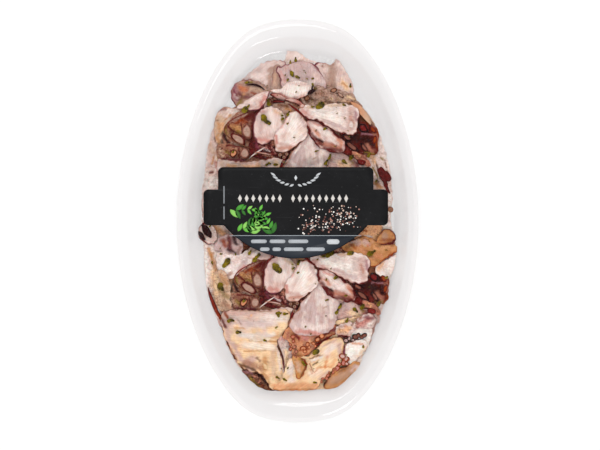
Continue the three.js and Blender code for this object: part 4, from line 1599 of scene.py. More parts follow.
# %% The group that lies there twice: its bed
GROUP_PLACES = [(0, 0), (5.5, -78)]
# On the maroon sheet below the hearts, the thin raised lilac line is a painted highlight. So is the
# thin raised mauve line in the dark cluster at the right.
GROUP_BED = slices_in("""
sheet fawn thick=1.3 swell=0.5 veins=0.8
-36,57 -24,64 -8,68 10,68 24,64 33,57 38,48 38,36 26,28 4,24 -18,26 -36,32 -39,44;
-12,60.6 -5,59.6 1.8 fawn; -7.6,56.6 -6,53 1.4 olive 0.6

sheet sand fibre=50 heart=-36.5,54 skin=umber swell=0.45 veins=0.2
-42.8,56.6,0.4 -41,59,0.5 -37.5,59.7,0.3 -33,59 -29.5,60 -27,57.5 -31,54 -35,50 -37.5,45 -38,40
-41.5,40,0 -43.6,46,0 -43.2,52;
-37,58 -31,57.4 1.6 ivory; -40,57 -37,54.5 1.4 ivory 0.9 0.4; -41.5,51 -41,47 0.9 tan 0.8;
-39.4,51 -39.6,46 0.9 peach; -42.2,53 0.7 umber; -42.6,44 -41,41 0.9 caramel 0.7;
-39,47 -39.4,41 1.2 ink 0.85; -41.6,58.4 -38,59 0.9 plum 0.7; -37.6,53.5 -35,56 0.5 tan 0.8

sheet fawn heart=-29,47 swell=0.5 veins=0.6
-38.8,46 -37.4,50.3 -34.4,54 -30.5,57 -26,58.4 -20,60.4 -17.6,57 -20.5,53 -21.5,47 -21.5,41
-23.5,36.5 -30,37.5 -36,39.3 -38.8,42;
-35,52.6 -27,56 1.3 beige 0.95 0.3; -34.5,49.4 -30,48.6 1.9 tan; -32.6,51.2 -25,55.4 0.8 rust 0.95;
-26.5,54 -23,56 1.6 maroon 0.95; -30,53 -26.6,51.4 1.1 rust; -23.6,56 -24,38 1.6 maroon 0.97 -0.4;
-38,49 -37.4,45.6 1 olive; -36.6,44.4 0.8 cream 0.8 0.3; -29.6,51 -28.6,45.6 0.5 maroon 0.95;
-38.8,45.4 -36.4,41 1.1 ink 1; -36.4,49.4 -32.6,46.2 0.8 maroon 0.97 -0.3;
-32.6,46.2 -26,42.6 0.8 maroon 0.97 -0.3; -31.4,47.4 -29.6,46.4 0.7 olive 0.8;
-34,40.6 -27,39.4 0.8 beige

sheet fawn thick=1.3 swell=0.5 veins=0.7
-42,39,0 -37,40.3 -30,38.8 -23,38 -17,36.5 -12,34.2 -12,31 -22,29.5 -34,29.5 -41,32,0;
-40.5,37.6 -39.5,34 1.3 sand; -37,38 -33,34.6 1.4 russet 0.7; -39.6,32.2 -28,31.8 0.9 plum;
-30.8,38 -30.4,33 0.6 maroon 0.95; -37,39.6 -25,38.6 0.6 maroon 0.95;
-37.4,36.4 -35.4,34.6 1 olive 0.7; -33.4,37 0.8 orange 0.7; -24.6,35.6 -20,33.6 0.9 maroon;
-34.4,33.6 0.9 beige

sheet maroon skin=ink thick=1.5 swell=0.6 veins=0.8 ruffle=0.5
-25,40.5 -21,42 -17,41 -13,43 -10.5,40 -6,37.8 -1.5,37 -3.8,33.5 -8,31.8 -14,32.3 -20,33 -24.5,35;
-21.8,41 -20,37 0.7 plum 0.9 0.3; -19.5,39.3 -16,38.3 0.7 blush 0.8 0.4;
-14.2,42.6 -12.6,40 1.2 salmon 0.85; -22,36 -14,34.8 0.4 salmon 0.8 0.4;
-9,36.8 -3,36 0.9 salmon 0.7; -17,37.6 -14.6,36.4 0.5 lilac 0.9 0.3;
-13.4,38.4 -11.6,35.6 0.5 blush 0.8 0.3; -8.6,34.5 -5,34.3 1.4 umber; -18,34.6 -12,33.4 0.5 fawn 0.8

sheet shell fibre=0 skin=umber thick=1.3
-41,32.4,0.3 -37,31.8,0.4 -31,31,0.4 -25,30.9,0.4 -18,31.8,0.4 -12,32.8,0.3 -6,31 -5,27 -8,22 -22,21
-36,22 -41.5,27;
-36,29 -20,28.4 1.6 peach 0.8; -11,30 -8.5,28 1.5 cream; -34,30.2 -24,30 0.7 rose;
-40,30 -38,27 1.4 sand 0.8

sheet rose fibre=-20 skin=plum thick=1.3 veins=0.3
13,36 19,37,0.4 24,35.6,0.5 27,33.4,0.3 31,31.6 36.5,29.6 37.5,25 30,21 18,21 11,26;
19,34.6 23,32 1.6 lilac; 22.6,30.4 26,28.6 1.9 cream 0.85; 30,29.5 34,29.3 1.2 blush;
19,31.3 1.3 grey 0.7; 29.5,31.6 31.5,29.5 0.8 maroon 0.7; 27.6,32 29,30.6 0.8 olive 0.8;
33.6,28.8 35.6,26.4 1.2 ivory 0.8

sheet maroon heart=33,43 skin=rust thick=1.5 swell=0.7 veins=0.1 ruffle=0.5
23,46 27,47 30.3,46.6 31,50 30.7,53.5,0.3 32,57,0.6 35,56.8,1 37,53,1.3 39,50.6,1.4 41.6,48.7,1.4
42.5,45,1.4 41.8,41,1.4 42.2,37.5,1.2 39.5,34.6,0.9 36,35.8 32,35.3 28,34.5 24.5,35.6 23,38 24,42;
24.4,44.4 31,44.6 1.4 ink 1 -0.3; 29,43.8 37.6,42.4 2.6 ink 1 -0.5;
40.8,49 41.6,41 1.3 salmon 0.75 0.3; 36.6,39.6 38.6,36.4 1.4 salmon 0.7 0.5;
24.4,41.4 31.6,37 0.9 ink 0.95 -0.3; 33.6,50.4 36.5,48 1.8 wine 0.95;
32.4,55.6 34.6,53 1.5 bark 0.95; 32,52 33,48 0.9 ink; 36,35.6 39.5,34.8 1.1 olive 0.8;
33,40.4 36.6,36.6 0.9 ink; 25.6,36.6 30,35.4 0.9 wine 0.8; 33.4,45.9 39,45.4 0.5 mauve 0.9 0.5;
37,46.6 38.6,50 0.8 ink; 38,40.6 41,39.4 0.8 ink
""")

# %% [markdown]
# On the bed lie the pale slices that catch the eye, with a thin maroon line along their edges.

# %% The group that lies there twice: its top
# On the lilac slice in the middle, the thin white streaks and the ivory ones near its lower end are
# painted highlights.
GROUP_TOP = slices_in("""
sheet beige skin=bark thick=0.9 veins=0.5
-12.4,61.6 -8,62.2 -4,61.4 0.4,58 -1.4,56.4 -5,53.4 -7,49.6 -9.6,51 -10,56 -13,59.4;
-10,61 -5,60.2 0.9 umber; -8.6,54 -6.6,50.8 0.5 ink; -6,58.6 -3,57.6 0.9 caramel 0.7;
-9.6,57 -7.4,55 0.8 grey 0.8

fold -3.4,37.6 -9.8,24.4 -0.8 0.6,1.3,1.6,1 maroon wine 0.3,0.3 skin=ink thick=0.9

fold -23,57.8 -23.4,37.6 -15.2 0.5,0.6,0.7,0.9 wine umber 0.2,0.2 skin=bark thick=0.8

fold -16.6,65.4 -22,55.6 0.9 1,1.8,2.2,1.6 salmon wine 0.4,0.5

fold -16.8,64.6 -17.4,58.2 0.4 0.6,1.3,1.4,0.8 shell rose 0.2,0.2 skin=plum thick=0.9

sheet lilac fibre=7,66 heart=4,29 skin=fawn thick=1.3
5.6,45.6 8,44 10,41 12.6,38.8 15,37.5 17.2,36.7 16.4,33 15.2,29,0 14,25,0 12,21.5,0 8,19.4,0
2,18.2,0 -4,18.6,0 -8,20.8,0.3 -10,24,0.6 -8,27.6,0.7 -5.5,31,0.7 -3.6,34.5,0.6 -1,37.8,0.5
2,41,0.4;
6.5,43 9,33 1.7 ivory 0.8; 12.5,36.5 12,28 1.6 ivory 0.85; 2,37 3,25 1.8 lilac 0.9 0.3;
6.2,34 6.9,30.6 0.5 beige 0.8 -0.2; 8,32.4 10,33.4 0.45 beige 0.7; -2,22.5 8,22.5 2 ivory 0.8;
-6,20.6 6,19.2 1.2 blush 0.85; -1.5,35.5 1.5,39.5 0.5 white 0.8 0.25; -8.2,25 -6,21.6 1.2 shell 0.8;
10,36 11,30 0.5 grey 0.7; 13.4,34 13.6,26 0.8 grey 0.5; 4.6,40 6,31 1.2 white 0.5;
-1.6,30 -3,24.6 1 ivory 0.7; 4.6,28 5,23 0.8 white 0.55; 9.2,28.6 9.8,22.4 0.9 ivory 0.75;
1.6,33 0.6,26 0.5 grey 0.6

sheet shell fibre=-14,36 heart=-15,50 skin=plum thick=1.7 swell=0.25 veins=0
-22.4,51.5,0.4 -21.3,55.3,0.4 -18.4,58.4,0.3 -14.5,59.8,0.3 -10.8,58.8 -8,56.6 -6.4,53,0 -7.6,48,0
-9.5,44,0 -13,42.8,0.4 -16.4,40.6,0.6 -19.4,40.2,0.7 -21.6,42,0.7 -22.8,46,0.6;
-20.4,54.5 -19,47 1.6 lilac 0.8; -20.5,42.6 -15.5,41.8 1.3 blush 0.85;
-14,56 -12.4,49 1.8 ivory 0.9 0.4; -12,57.8 -9.5,56.4 1 sand 0.8; -8.4,56.4 -7.4,51.4 0.8 olive 0.6;
-19.5,57.2 -17,57.4 0.8 mauve 0.5; -16,45 -12,45 1.2 rose 0.7; -17.4,48 -15.6,52 1 ivory 0.6

sheet ivory fibre=-12,36 skin=fawn thick=1.8 swell=0.25 veins=0
-4.6,55.8 -2,57.4,0.5 0.6,56.6,0.6 2.8,54.4,0.6 4.8,51.8,0.6 5.5,48.8,0.5 5,45.4 3.4,43 0.4,41
-2.8,38.4,0.4 -6.4,36.2,0.7 -10.4,36.8,0.7 -11.9,40,0.6 -11.9,44.4,0.3 -9.6,47.6,0 -7.4,50.4,0
-6,53,0;
-10,37.8 -3.6,38.6 1.3 salmon 0.8; -11,40.6 -5,39.6 1 rose 0.8; -3,52 -2,45 2.4 white 0.7 0.5;
0.5,55.4 4,50 1 lilac; -11.3,44.5 -10.8,41 0.8 blush; 1,42.5 4,46 0.9 shell 0.8;
-6,48 -8,43 1.2 shell; -5,55 -8.6,48.6 0.7 blush 0.6; -1,44 1.6,47 1 sand 0.4

sheet shell fibre=-40 thick=1.8 swell=0.2
5.4,52.4,1.4 7.8,53,1.4 11,52.2,1.3 15,49.8,1.2 18.4,47.2,1.3 21.4,44.6,1.4 23.8,42,1.3
24.8,39.4,1.3 24,37,1.1 21,35.9,1.1 17,36.4,1.2 13.2,38,1.4 10.4,39.8,1.5 8.4,42.4,1.4 6.4,45,1.3
5.3,48.4,1.5;
11.6,40.8 22.4,38 1.5 salmon 0.95; 9.8,43 12.8,41.6 0.9 ink 0.97 -0.3;
7.2,45.6 12.6,39.6 0.9 maroon 0.85; 8.4,48 11.6,44.8 1.1 orange 0.6; 20.5,44 23,40.5 1.2 orange 0.6;
10,49.5 18.5,43 2 ivory 0.95 0.6; 8.4,51 13,49.6 0.7 blush 0.8; 14,37.8 23,36.8 1.2 maroon 0.85;
14.6,41.6 20,39.6 0.6 rust 0.5

sheet ivory fibre=-14 heart=17,54.5 thick=1.7
1,56.8,0.5 1.6,59,0.3 5,60.9 8.6,59 13,60.2 17,60.9 22,61.4 26,61 29.4,60 31.8,57.8,0.3 32.2,55,0.4
31.2,52.2,0.5 31,49.6,0.5 30.6,46.4,0.6 27.6,45,0.8 24.6,45.4,0.9 20.8,46.8,0.8 17,48.8,0.7
13,51,0.7 9.6,52.7,0.8 6.4,53,0.8 3.4,54.6,0.7;
28,58 28.4,48.6 2.2 rose 0.95; 3,57.5 7.6,54.8 1.6 blush 0.75; 16,60.4 23,60.5 0.9 sand 0.8;
27.6,55 29,51 0.8 salmon 0.6; 8,56.5 21,54 2.2 white 0.85 0.6; 14,52.6 25,48.4 1.2 lilac;
30.4,57 31,53 0.9 mauve 0.8; 5.5,59.9 8,58.8 0.8 sand 0.8; 24,58 25.6,52 1.3 shell;
12,51.8 21,47.6 0.5 rose 0.7

fold -5,61.4 3.6,54.6 0.2 0.8,1.1,1.2,0.9 wine maroon 0.3,0.3 thick=1

fold -14,62.3 -6.4,62.1 0.5 1.2,1.8,1.6,1.2 maroon wine 0.4,0.4 skin=ink thick=1

sheet shell fibre=30 skin=plum thick=1.6 swell=0.2
-31.8,59.6 -29,61.8 -24,64.8 -19,67.1 -15.4,67.9,0.3 -15.8,65.4,0.5 -17.4,61.6,0.6 -19.8,59,0.6
-22.6,58.2,0.6 -26,58.2,0.4 -29.2,58.8,0.3;
-17,65 -19.4,60.5 1.3 blush; -28,60.5 -20,64.5 1.2 ivory 0.9 0.5; -24,60 -20.6,59.4 1.2 rose 0.8

fold -25.4,32.6 -16.8,38.6 0.3 0.4,0.7,0.7,0.4 ivory shell 0,0 grain=0.3 skin=plum thick=0.8

fold -22.5,35.8 -14,34.4 0.4 0.4,0.6,0.6,0.4 salmon rose 0,0 grain=0.3 skin=plum thick=0.7

sheet salmon thick=1 veins=0.6
29,36.4 32,35.4 35.6,33.4 38,30 36.6,28.6 33,31.6 29.6,33.6;
31,35 33,33.6 0.7 peach 0.95 0.3
""")

# %% [markdown]
# Below the label, small rolls, a black fold and two peach coloured slices lie against the wall.

# %% Slices below the label, at its sides
BESIDE_LOW = slices_in("""
sheet shell thick=1.3
-51.6,-3.6,0.9 -48.4,-1,0.8 -44.4,-3 -42.4,-8,0 -44.4,-11.8,0.3 -48,-11.4,0.6 -52,-8.4,0.9;
-50.8,-4.6 -46.8,-10.6 0.6 ivory 0.8

sheet lilac skin=mauve thick=1.5 swell=0.4 ruffle=0.5
-43.4,-13,0.3 -41,-9.4 -37,-7.4,0.3 -32.4,-7.6 -29,-12 -29.6,-17 -32.6,-19.8 -36,-19.2 -39.6,-17.4
-42.6,-15.4;
-38.7,-10.8 -38.2,-13 1.5 rust 0.9 -0.5; -36,-9 -35.2,-14.4 1.5 maroon 0.95 -0.5;
-33.4,-8.6 -32,-12 1.2 ink 0.97; -36.6,-15 -32.6,-16.4 0.8 ink 0.85;
-41.6,-12 -38.6,-16.6 1.1 lilac 0.95 0.5; -38.6,-17.2 -33,-18.4 0.8 ivory 0.9 0.4;
-31,-16.6 -30,-14 0.9 umber 0.7; -36.4,-11.6 0.5 tan 0.8

sheet ivory heart=-34,-23 skin=mauve thick=1.2 swell=0.4 veins=0.2
-42,-17,0 -36,-17.6,0 -31,-18 -24,-14 -21,-17 -25,-22 -30,-26 -33,-29 -37,-30 -41.6,-25,0;
-30,-24.5 -27,-20 1.5 lilac; -40,-20 -36.6,-26 2 white 0.9 0.3; -31,-27 -27.6,-23.6 0.8 blush 0.8;
-25,-16 -22.6,-16.6 1 cream; -33,-21 -30,-19.4 1.4 shell 0.8; -37,-28.6 -34.6,-27 0.9 fawn 0.7

fold -47.2,-34.8 -38,-55 -1 1.2,2,2,1.8 wine rust 0.4,0.4

sheet sand skin=umber thick=1.1 swell=0.5 veins=0.45
-43.6,-28,0 -40,-26 -37,-28.6 -35.6,-34,0 -35.4,-40,0 -34.6,-46,0 -38,-47.6,0 -42,-44.6,0 -44,-36,0;
-42.6,-29 -42.6,-38 1.3 cream 0.8; -41,-36 -37,-40 1.4 olive 0.6; -40,-29 -37,-33 1.5 tan 0.7;
-39,-43 -36,-45 1.3 fawn 0.7

sheet peach skin=rust thick=1.2 veins=0.35
29,-7,0 33,-3,0 37,-1,0 43,-1,0 43,-8,0 38.6,-10.4,0 31,-10,0;
34.6,-5 36.2,-5.4 0.6 rust; 35.4,-7.6 39,-8.4 0.5 white 1 0.4; 35.6,-9 38,-9.6 0.4 umber 0.8;
40.4,-5.4 0.7 salmon 0.7; 32.4,-7 34,-8.4 0.9 salmon 0.7

sheet umber thick=1.2 veins=0.7
34.6,-19.4 38,-20.4 41.4,-23.4 41.6,-27.6 38,-28.4 35,-25;
36.4,-26 1.3 maroon

sheet ivory skin=rose
41,-24.4,0.3 44,-22.2 48,-20 51.6,-17.8 51.8,-21,0 50.4,-25,0 48.6,-28.6,0 46.4,-29.8,0 43.8,-28.8
41.4,-27;
42.4,-25 45,-22.8 1.2 peach 0.85; 46,-27 50.4,-21 1.8 white 0.8 0.4

sheet tan fibre=-15 heart=38,-15.5 skin=rust thick=1.5 swell=0.4 veins=0.25
24,-12 29,-10.6 34,-8.4 37.5,-9 41,-10.6 45,-12 50,-12 52.4,-14,0.3 51.6,-16.4,0.6 47.6,-18.8,0.6
43.4,-21.2,0.6 39.8,-23.6,0.5 36,-21.4 32.5,-18.8 29,-17 24.5,-15.6;
41,-14 50,-13.8 1.5 peach 0.6 0.4; 29,-11 37,-11.6 1.6 rose; 28,-12.5 30,-14.5 0.8 rust 0.7;
33,-14.8 36,-16.8 1.4 clay 0.95; 37.5,-19 44,-18.4 1.6 clay 0.7; 34.4,-8.8 37,-10 0.35 umber 0.8;
32,-9.8 35.6,-13 0.6 sand; 31,-13 0.6 rust 0.8; 36.6,-12.8 0.7 orange 0.6

sheet tan thick=1.8 swell=0.2
41.8,-10,1 42.8,-7.6,0.6 45.6,-4.8,0.4 48.4,-4.7,0.4 50.8,-7,0.7 51.4,-9.8,1.1 50,-11.9,1.3
46,-12.2,1.2 42.6,-11.8,1.1;
46,-8 2 beige 0.7 0.5; 44,-10 49,-9.8 0.9 rust 0.6

fold -50.4,-1.8 -45.4,-9 0.4 2,3.6,3.4,2 ink ink 0.7,0.4 ragged=0.15 skin=ink thick=1.6

fold -52,-5.2 -48.4,-10 -0.3 1.4,2.4,2.2,1.4 ink ink 0.4,0.4 ragged=0.15 skin=ink thick=1.4
""")

# %% [markdown]
# At the straight end, large cream slices lie flat and end in the frilled edge where the suckers
# sit.

# %% Slices at the straight end
# On the large cream sheet, the caramel crease lines are painted shade in its creases, the wide white
# line between them is a painted highlight on the fold, and the fawn band at its lower left is painted
# shade.
LOW_END = slices_in("""
sheet cream skin=umber thick=1.2 swell=0.4 veins=0.2
-38,-56 -24,-54 0,-54 20,-52 38,-50,0 38.6,-57,0 36.4,-65,0 34,-72,0 33.6,-78,0 30,-85,0 24,-88.4,0
0,-89 -19,-88.6 -28,-79.4 -35,-68;
2,-62 16,-60 4 umber 0.95; 20,-61 26,-61.4 1.6 plum 0.8; 31,-69 33,-74 2.6 ivory;
25,-84.6 30,-81 1.6 ivory; 28,-58.6 38,-57 2.2 white 1

sheet umber skin=ink swell=0.5 veins=0.8 ruffle=0.5
-29,-78.6 -24,-78 -19.6,-79 -15,-83 -12,-86 -7,-88 -12,-89.2 -19.6,-89 -23,-85.8 -26,-82.6;
-22.4,-81.8 1.3 salmon 0.95 0.4; -24.6,-82.4 -20.2,-87.8 0.7 olive; -20.2,-84.6 1 salmon 0.9 0.4;
-20.8,-80.4 -18.2,-82.4 0.9 ink 0.97; -18.2,-82.4 -14.6,-86.6 1 ink 0.95;
-14.6,-87.6 -8,-88.6 0.8 maroon; -18.6,-86.6 0.9 rust 0.8; -28,-79.4 -24,-80 0.8 mauve 0.8

sheet cream fibre=-6 heart=-21,-66 skin=bark swell=0.4 veins=0.05
-39.8,-49.4,0.3 -36,-46.8,0.4 -30,-46.4,0.4 -24,-47,0.3 -16,-47.4 -9,-46.4,0 -4.8,-47.2,0.5
-3.2,-50.5,0.8 -4.6,-54.5,0.8 -6.8,-58.5,0.5 -9.4,-62,0.4 -9.6,-65,0.4 -8.7,-69,0.5 -7.6,-72,0.5
-7.1,-77,0.4 -5.4,-81,0 -6,-87,0 -13,-88,0 -16.2,-84,0.5 -19.4,-80.4,0.6 -25,-78.8,0.7
-29.6,-76.6,0.6 -33.4,-71.4,0.6 -36,-66.4,0.6 -38.4,-61,0.5 -39.6,-55,0.5;
-38,-48 -10,-48 3 rose; -34,-46.6 -14,-47 0.9 beige 0.95; -38,-53 -14,-54 3.2 shell 1;
-37.6,-52 -36,-64 1.7 rose; -36,-48.6 -22,-48.4 0.9 rose; -28,-53 -15,-54.4 2.2 lilac 0.5;
-18,-50.4 -7,-51.4 2.4 ivory; -33,-56 -27.6,-56.4 0.5 tan 0.8; -14,-57 -7.6,-55 2.2 cream;
-23,-52.4 0.5 umber 0.5; -30.5,-52.6 -29.6,-54 0.5 umber 0.5; -38,-48.4 -36.6,-50.6 0.9 rust 0.95;
-40,-51 -38,-55.6 0.9 maroon; -24,-49.4 0.6 peach; -30,-60 -14,-60 1.8 ivory 0.9 0.3;
-25.5,-62.8 -10.5,-63.2 0.45 caramel 0.8 -0.4; -28,-68.6 -17,-67.9 0.45 caramel 0.6 -0.4;
-27,-65.4 -13,-65.6 2.3 white 0.6 0.7; -24,-72.6 -26,-76.6 2.6 rose;
-27.6,-74.6 -19,-77.4 1.9 fawn 0.8 -0.5; -21.4,-72 -19.8,-73.6 0.7 umber 0.7;
-34,-65 -29.6,-72.6 1.5 rose 0.95; -17,-72 -17,-78 1.5 tan 0.8; -13,-69 -12.6,-80 1.5 sand 0.7 0.6;
-10.4,-66 -9,-78 0.9 ivory 0.7; -17.6,-80 -14.6,-85 0.9 caramel 0.6;
-30.4,-75.4 -22,-78.4 0.8 bark 0.85; -13,-86.4 -8,-86.8 1.3 peach; -36.6,-65.6 -32,-73 0.8 fawn 0.8;
-15.8,-74 0.6 umber 0.5; -15.6,-62 -10.4,-60.6 0.7 peach 0.7

sheet shell fibre=80 heart=-5.8,-70 skin=bark thick=1.2 veins=0.35
-10,-62,0.3 -7.6,-60.4,0 -4,-61.6,0 -2.2,-65,0 -2.8,-69,0 -3.4,-73,0 -4.2,-77,0 -5.2,-80.6,0
-6.8,-81.2,0 -7.7,-77,0.6 -8,-72,0.9 -9.4,-68.4,0.9 -10.4,-65,0.6;
-9,-61.6 -7,-61.8 0.9 blush 0.8; -6,-68 -5.6,-76 1.1 cream 0.9 0.3;
-4.2,-63.6 -3.6,-68 0.5 umber 0.6; -8.6,-66 -6,-64 0.8 ivory 0.8

fold -10.4,-64 -6.9,-79.6 0.8 0.4,0.9,0.9,0.4 bark plum 0.3,0.3 skin=ink thick=0.8

sheet clay heart=3,-63.5 skin=wine thick=1.5 swell=0.5 veins=0.25 ruffle=0.5
-4.4,-55.6,0 -1,-56.4,0 3,-57,0 8,-56,0 12,-54.6,0 16,-53.4,0 19.6,-54.6,0.5 20.6,-58.6,1.1
17,-61,1.2 13.4,-63.4,1.2 10,-66,1.1 7,-68.4,1 4,-70.6,0.7 1,-73,0.4 -2.2,-73 -2.8,-67 -4.6,-63
-7.6,-60.4;
-0.8,-59 0.6,-61.8 0.9 wine 0.97; 2,-59.4 5,-62.6 1.7 blush 0.97 0.4;
8,-60 13,-58.4 1.6 salmon 0.95 0.3; 14.4,-57.6 19,-57 1.6 plum; 3.4,-65.4 12,-61.6 0.6 rust 0.95;
0.6,-68 6,-66.8 0.6 rust; 8,-62.4 13,-61 1 fawn 0.8 0.4; -5,-58.5 -5.5,-62 0.9 salmon;
0,-69.6 3.4,-71.4 1.1 tan; 12,-60.6 16,-58.8 0.6 maroon; 4,-64.4 9,-66.6 1.4 fawn;
10,-64.4 16,-61.4 0.8 maroon; 6.4,-63 1 peach 0.8 0.4; -1.6,-64.6 -1.4,-71 0.9 salmon 0.8

sheet cream fibre=35 heart=8,-77.5 skin=tan thick=1.2 veins=0.05
8.8,-68.6 11.8,-65.2,0.3 14.4,-63,0.4 17.4,-61.8,0.4 20.6,-61.2,0.4 23.4,-61.9,0.6 24.3,-65.5,0.9
24,-69,0.9 22.8,-72,0.4 20.4,-75.8,0.3 17.8,-78.6,0.3 14.8,-81.6,0.3 12.4,-84.4,0.4 10.8,-87.2,0.6
8,-88.7,0.7 0,-89,0.7 -9,-88.9,0.7 -12.6,-87.6,0.3 -9,-84.6,0 -7,-80,0 -5.6,-76,0 -3.6,-72.4,0
2,-71.6,0 6,-71,0;
-12,-86.8 9.6,-86.8 1.9 orange 0.5; -9,-88.5 8,-88.4 0.5 tan; 15,-68.4 19.6,-65.4 2.4 ivory 0.9 0.5;
7,-80.4 12,-79 2.2 ivory 0.5 0.4; 14.4,-76.4 15.6,-71 0.7 orange 0.6;
7.4,-73.4 12.8,-71.2 0.7 white 1 0.6; 8,-75.6 12.4,-73 0.4 bark 0.9 -0.4;
6.4,-75 8,-78.8 0.4 fawn 0.9 -0.3; 12,-76.8 17.6,-76.6 0.6 orange 0.6; 22,-64.6 22.6,-71.6 1.1 rose;
6.6,-72.2 10.8,-70.6 0.4 umber; 10.4,-70.4 12.8,-71 0.4 umber; 13.4,-65.6 20,-62.6 0.6 rose 0.8;
11,-77 9,-79.4 0.5 orange 0.5; -3.4,-75 -3.4,-83 1.8 ivory 0.9 0.3; 16,-79 12,-83 1 rose 0.6;
6.4,-77.4 7.6,-80 0.4 salmon 0.7; 20,-73 18,-76 1 peach 0.8

sheet tan skin=rust thick=1 veins=0
-2,-71,0.3 1,-71.6,0.4 4,-73.4,0.8 5,-75.6,1 4.2,-78,1 2.6,-81,1 0.8,-82.8,0.8 -0.6,-81.4,0.4
-0.8,-78 -1.6,-75,0 -2.6,-73,0;
0,-74.6 0.6,-78.4 1.2 sand 0.8; 2.4,-72.6 4.4,-74.8 1 umber; 0.4,-80 1,-82.4 0.9 caramel;
4.4,-76 1.8,-81.8 0.5 bark 0.8; 1.4,-72.4 0.8 olive 0.7

sheet white skin=ivory thick=1.2 veins=0 ruffle=0.5
27,-58,0 30,-56.4,0 35,-56.2,0 39,-57,0 38,-62,0 36.4,-67,0 33,-70,0 29,-64,0

sheet shell fibre=20 heart=29,-55.2 thick=1.6 swell=0.5 veins=0.4 ruffle=0.5
20.2,-57,0.3 21,-55 24,-53.8 27,-52.8 29,-53.6 31,-51.6 34,-49.6 38,-48.6,0.4 40.8,-51.4,0.4
40,-54.6 36.6,-56.6 33,-55.8 30.2,-56.6,0.4 28.6,-58.6,0.4 27,-60.6,0.9 23,-60.4,1 20.4,-59.2,0.8;
22,-57.4 27,-57 1.6 peach 0.9 0.4; 30,-51.6 31.8,-55.6 0.8 rust;
37.2,-54.8 38.8,-53.4 0.9 white 0.95 0.4; 33,-54 36.4,-52 1.7 blush 0.95;
28.4,-54.6 29.4,-52.8 0.6 umber 0.8; 35.6,-50.6 39.6,-51 1 plum 0.8;
32.6,-51.4 33.4,-49.8 0.7 rust 0.7; 25,-55 0.8 orange 0.5

sheet white skin=plum veins=0 ruffle=0.5
24.8,-66.6,0.9 26,-64.6,0.6 29.2,-63.4,0.3 32.6,-62.4 35.6,-63.6,0 36.4,-66,0 34.4,-68.6,0
32.4,-71,0 30,-73.6,0 27.4,-75,0 25.6,-72,0.3 24.5,-69,0.9;
26,-66 30,-72 1.8 white 1; 32,-70.6 35.4,-67.4 1 cream 0.6; 29,-64.2 34,-64.6 0.6 orange 0.7;
27,-67 31,-69 1.3 white 1 0.5

sheet tan fibre=40 skin=bark thick=1.7 swell=0.25 veins=0.05
14.6,-88,0.7 14.3,-85.2,0.8 16.4,-82.2,0.9 19,-79.6,0.9 22,-77.5,0.9 25,-76.4,0.7 27.6,-75.2,0.5
30.4,-73.8,0.3 32.9,-75.3 33.4,-78,0.3 32.2,-81,0.5 30,-83.6,0.7 27,-86.2,0.9 24,-87.9,0.9
19,-88.5,0.8;
31.4,-76.6 31.8,-80 1.2 shell; 18.4,-84.4 27.4,-79 2.2 beige 0.6 0.7; 22,-87 27.6,-84.8 0.6 sand;
28.4,-78.8 30,-76 1 rose 0.8; 22,-79 26.6,-77 0.7 umber 0.6
""")

# %% [markdown]
# Now the lists are laid. The wall's sheets and the two beds come first, and the two tops last,
# because they lie over everything. Then the wall and the film squeeze the heap into the well.

# %% Lay the slices
def laid_twice(group, first_seed):
    """The group at both of its places, with the same waves."""
    return [lay_all([moved(facts, by) for facts in group], first_seed) for by in GROUP_PLACES]


def add_food(name, shapes, material):
    """A piece of the heap, held in by the wall and the film."""
    points, *rest = joined(shapes)
    add_piece(name, (in_the_well(points), *rest), material, "octopus_slices")


sides = lay_all(SIDES, 100)
beds = laid_twice(GROUP_BED, 400)
round_end = lay_all(TOP_END, 1200)
beside_low = lay_all(BESIDE_LOW, 4000)
low_end = lay_all(LOW_END, 5000)
tops = laid_twice(GROUP_TOP, 1800)
print(f"heap {height.max():.1f} mm before it is squeezed")

add_food("slices_on_the_floor", under + [core], slice_flesh)
add_food("slices_along_the_wall", sides + beside_low, slice_flesh)
add_food("slices_round_end", round_end, slice_flesh)
add_food("slices_upper_group", beds[0] + tops[0], slice_flesh)
add_food("slices_lower_group", beds[1] + tops[1], slice_flesh)
add_food("slices_straight_end", low_end, slice_flesh)

# %% [markdown]
# ## Suckers
#
# A sucker is a cup: a soft ring round a dimple. Its section is a height over the distance from its
# middle, turned round and stretched a little one way. Large ones stand alone. Small ones stand in
# rows along a frilled edge.

# %% One sucker
CUP_AROUND = 28
CUP_RINGS = 16
CUP_RISE = 0.5  # height of the ring, as a share of the radius
CUP_FOOT = 0.7  # depth of the foot below it
DIMPLE_REACH = 0.42
SKIN_FULL = 0.92  # share of the radius from which only skin shows


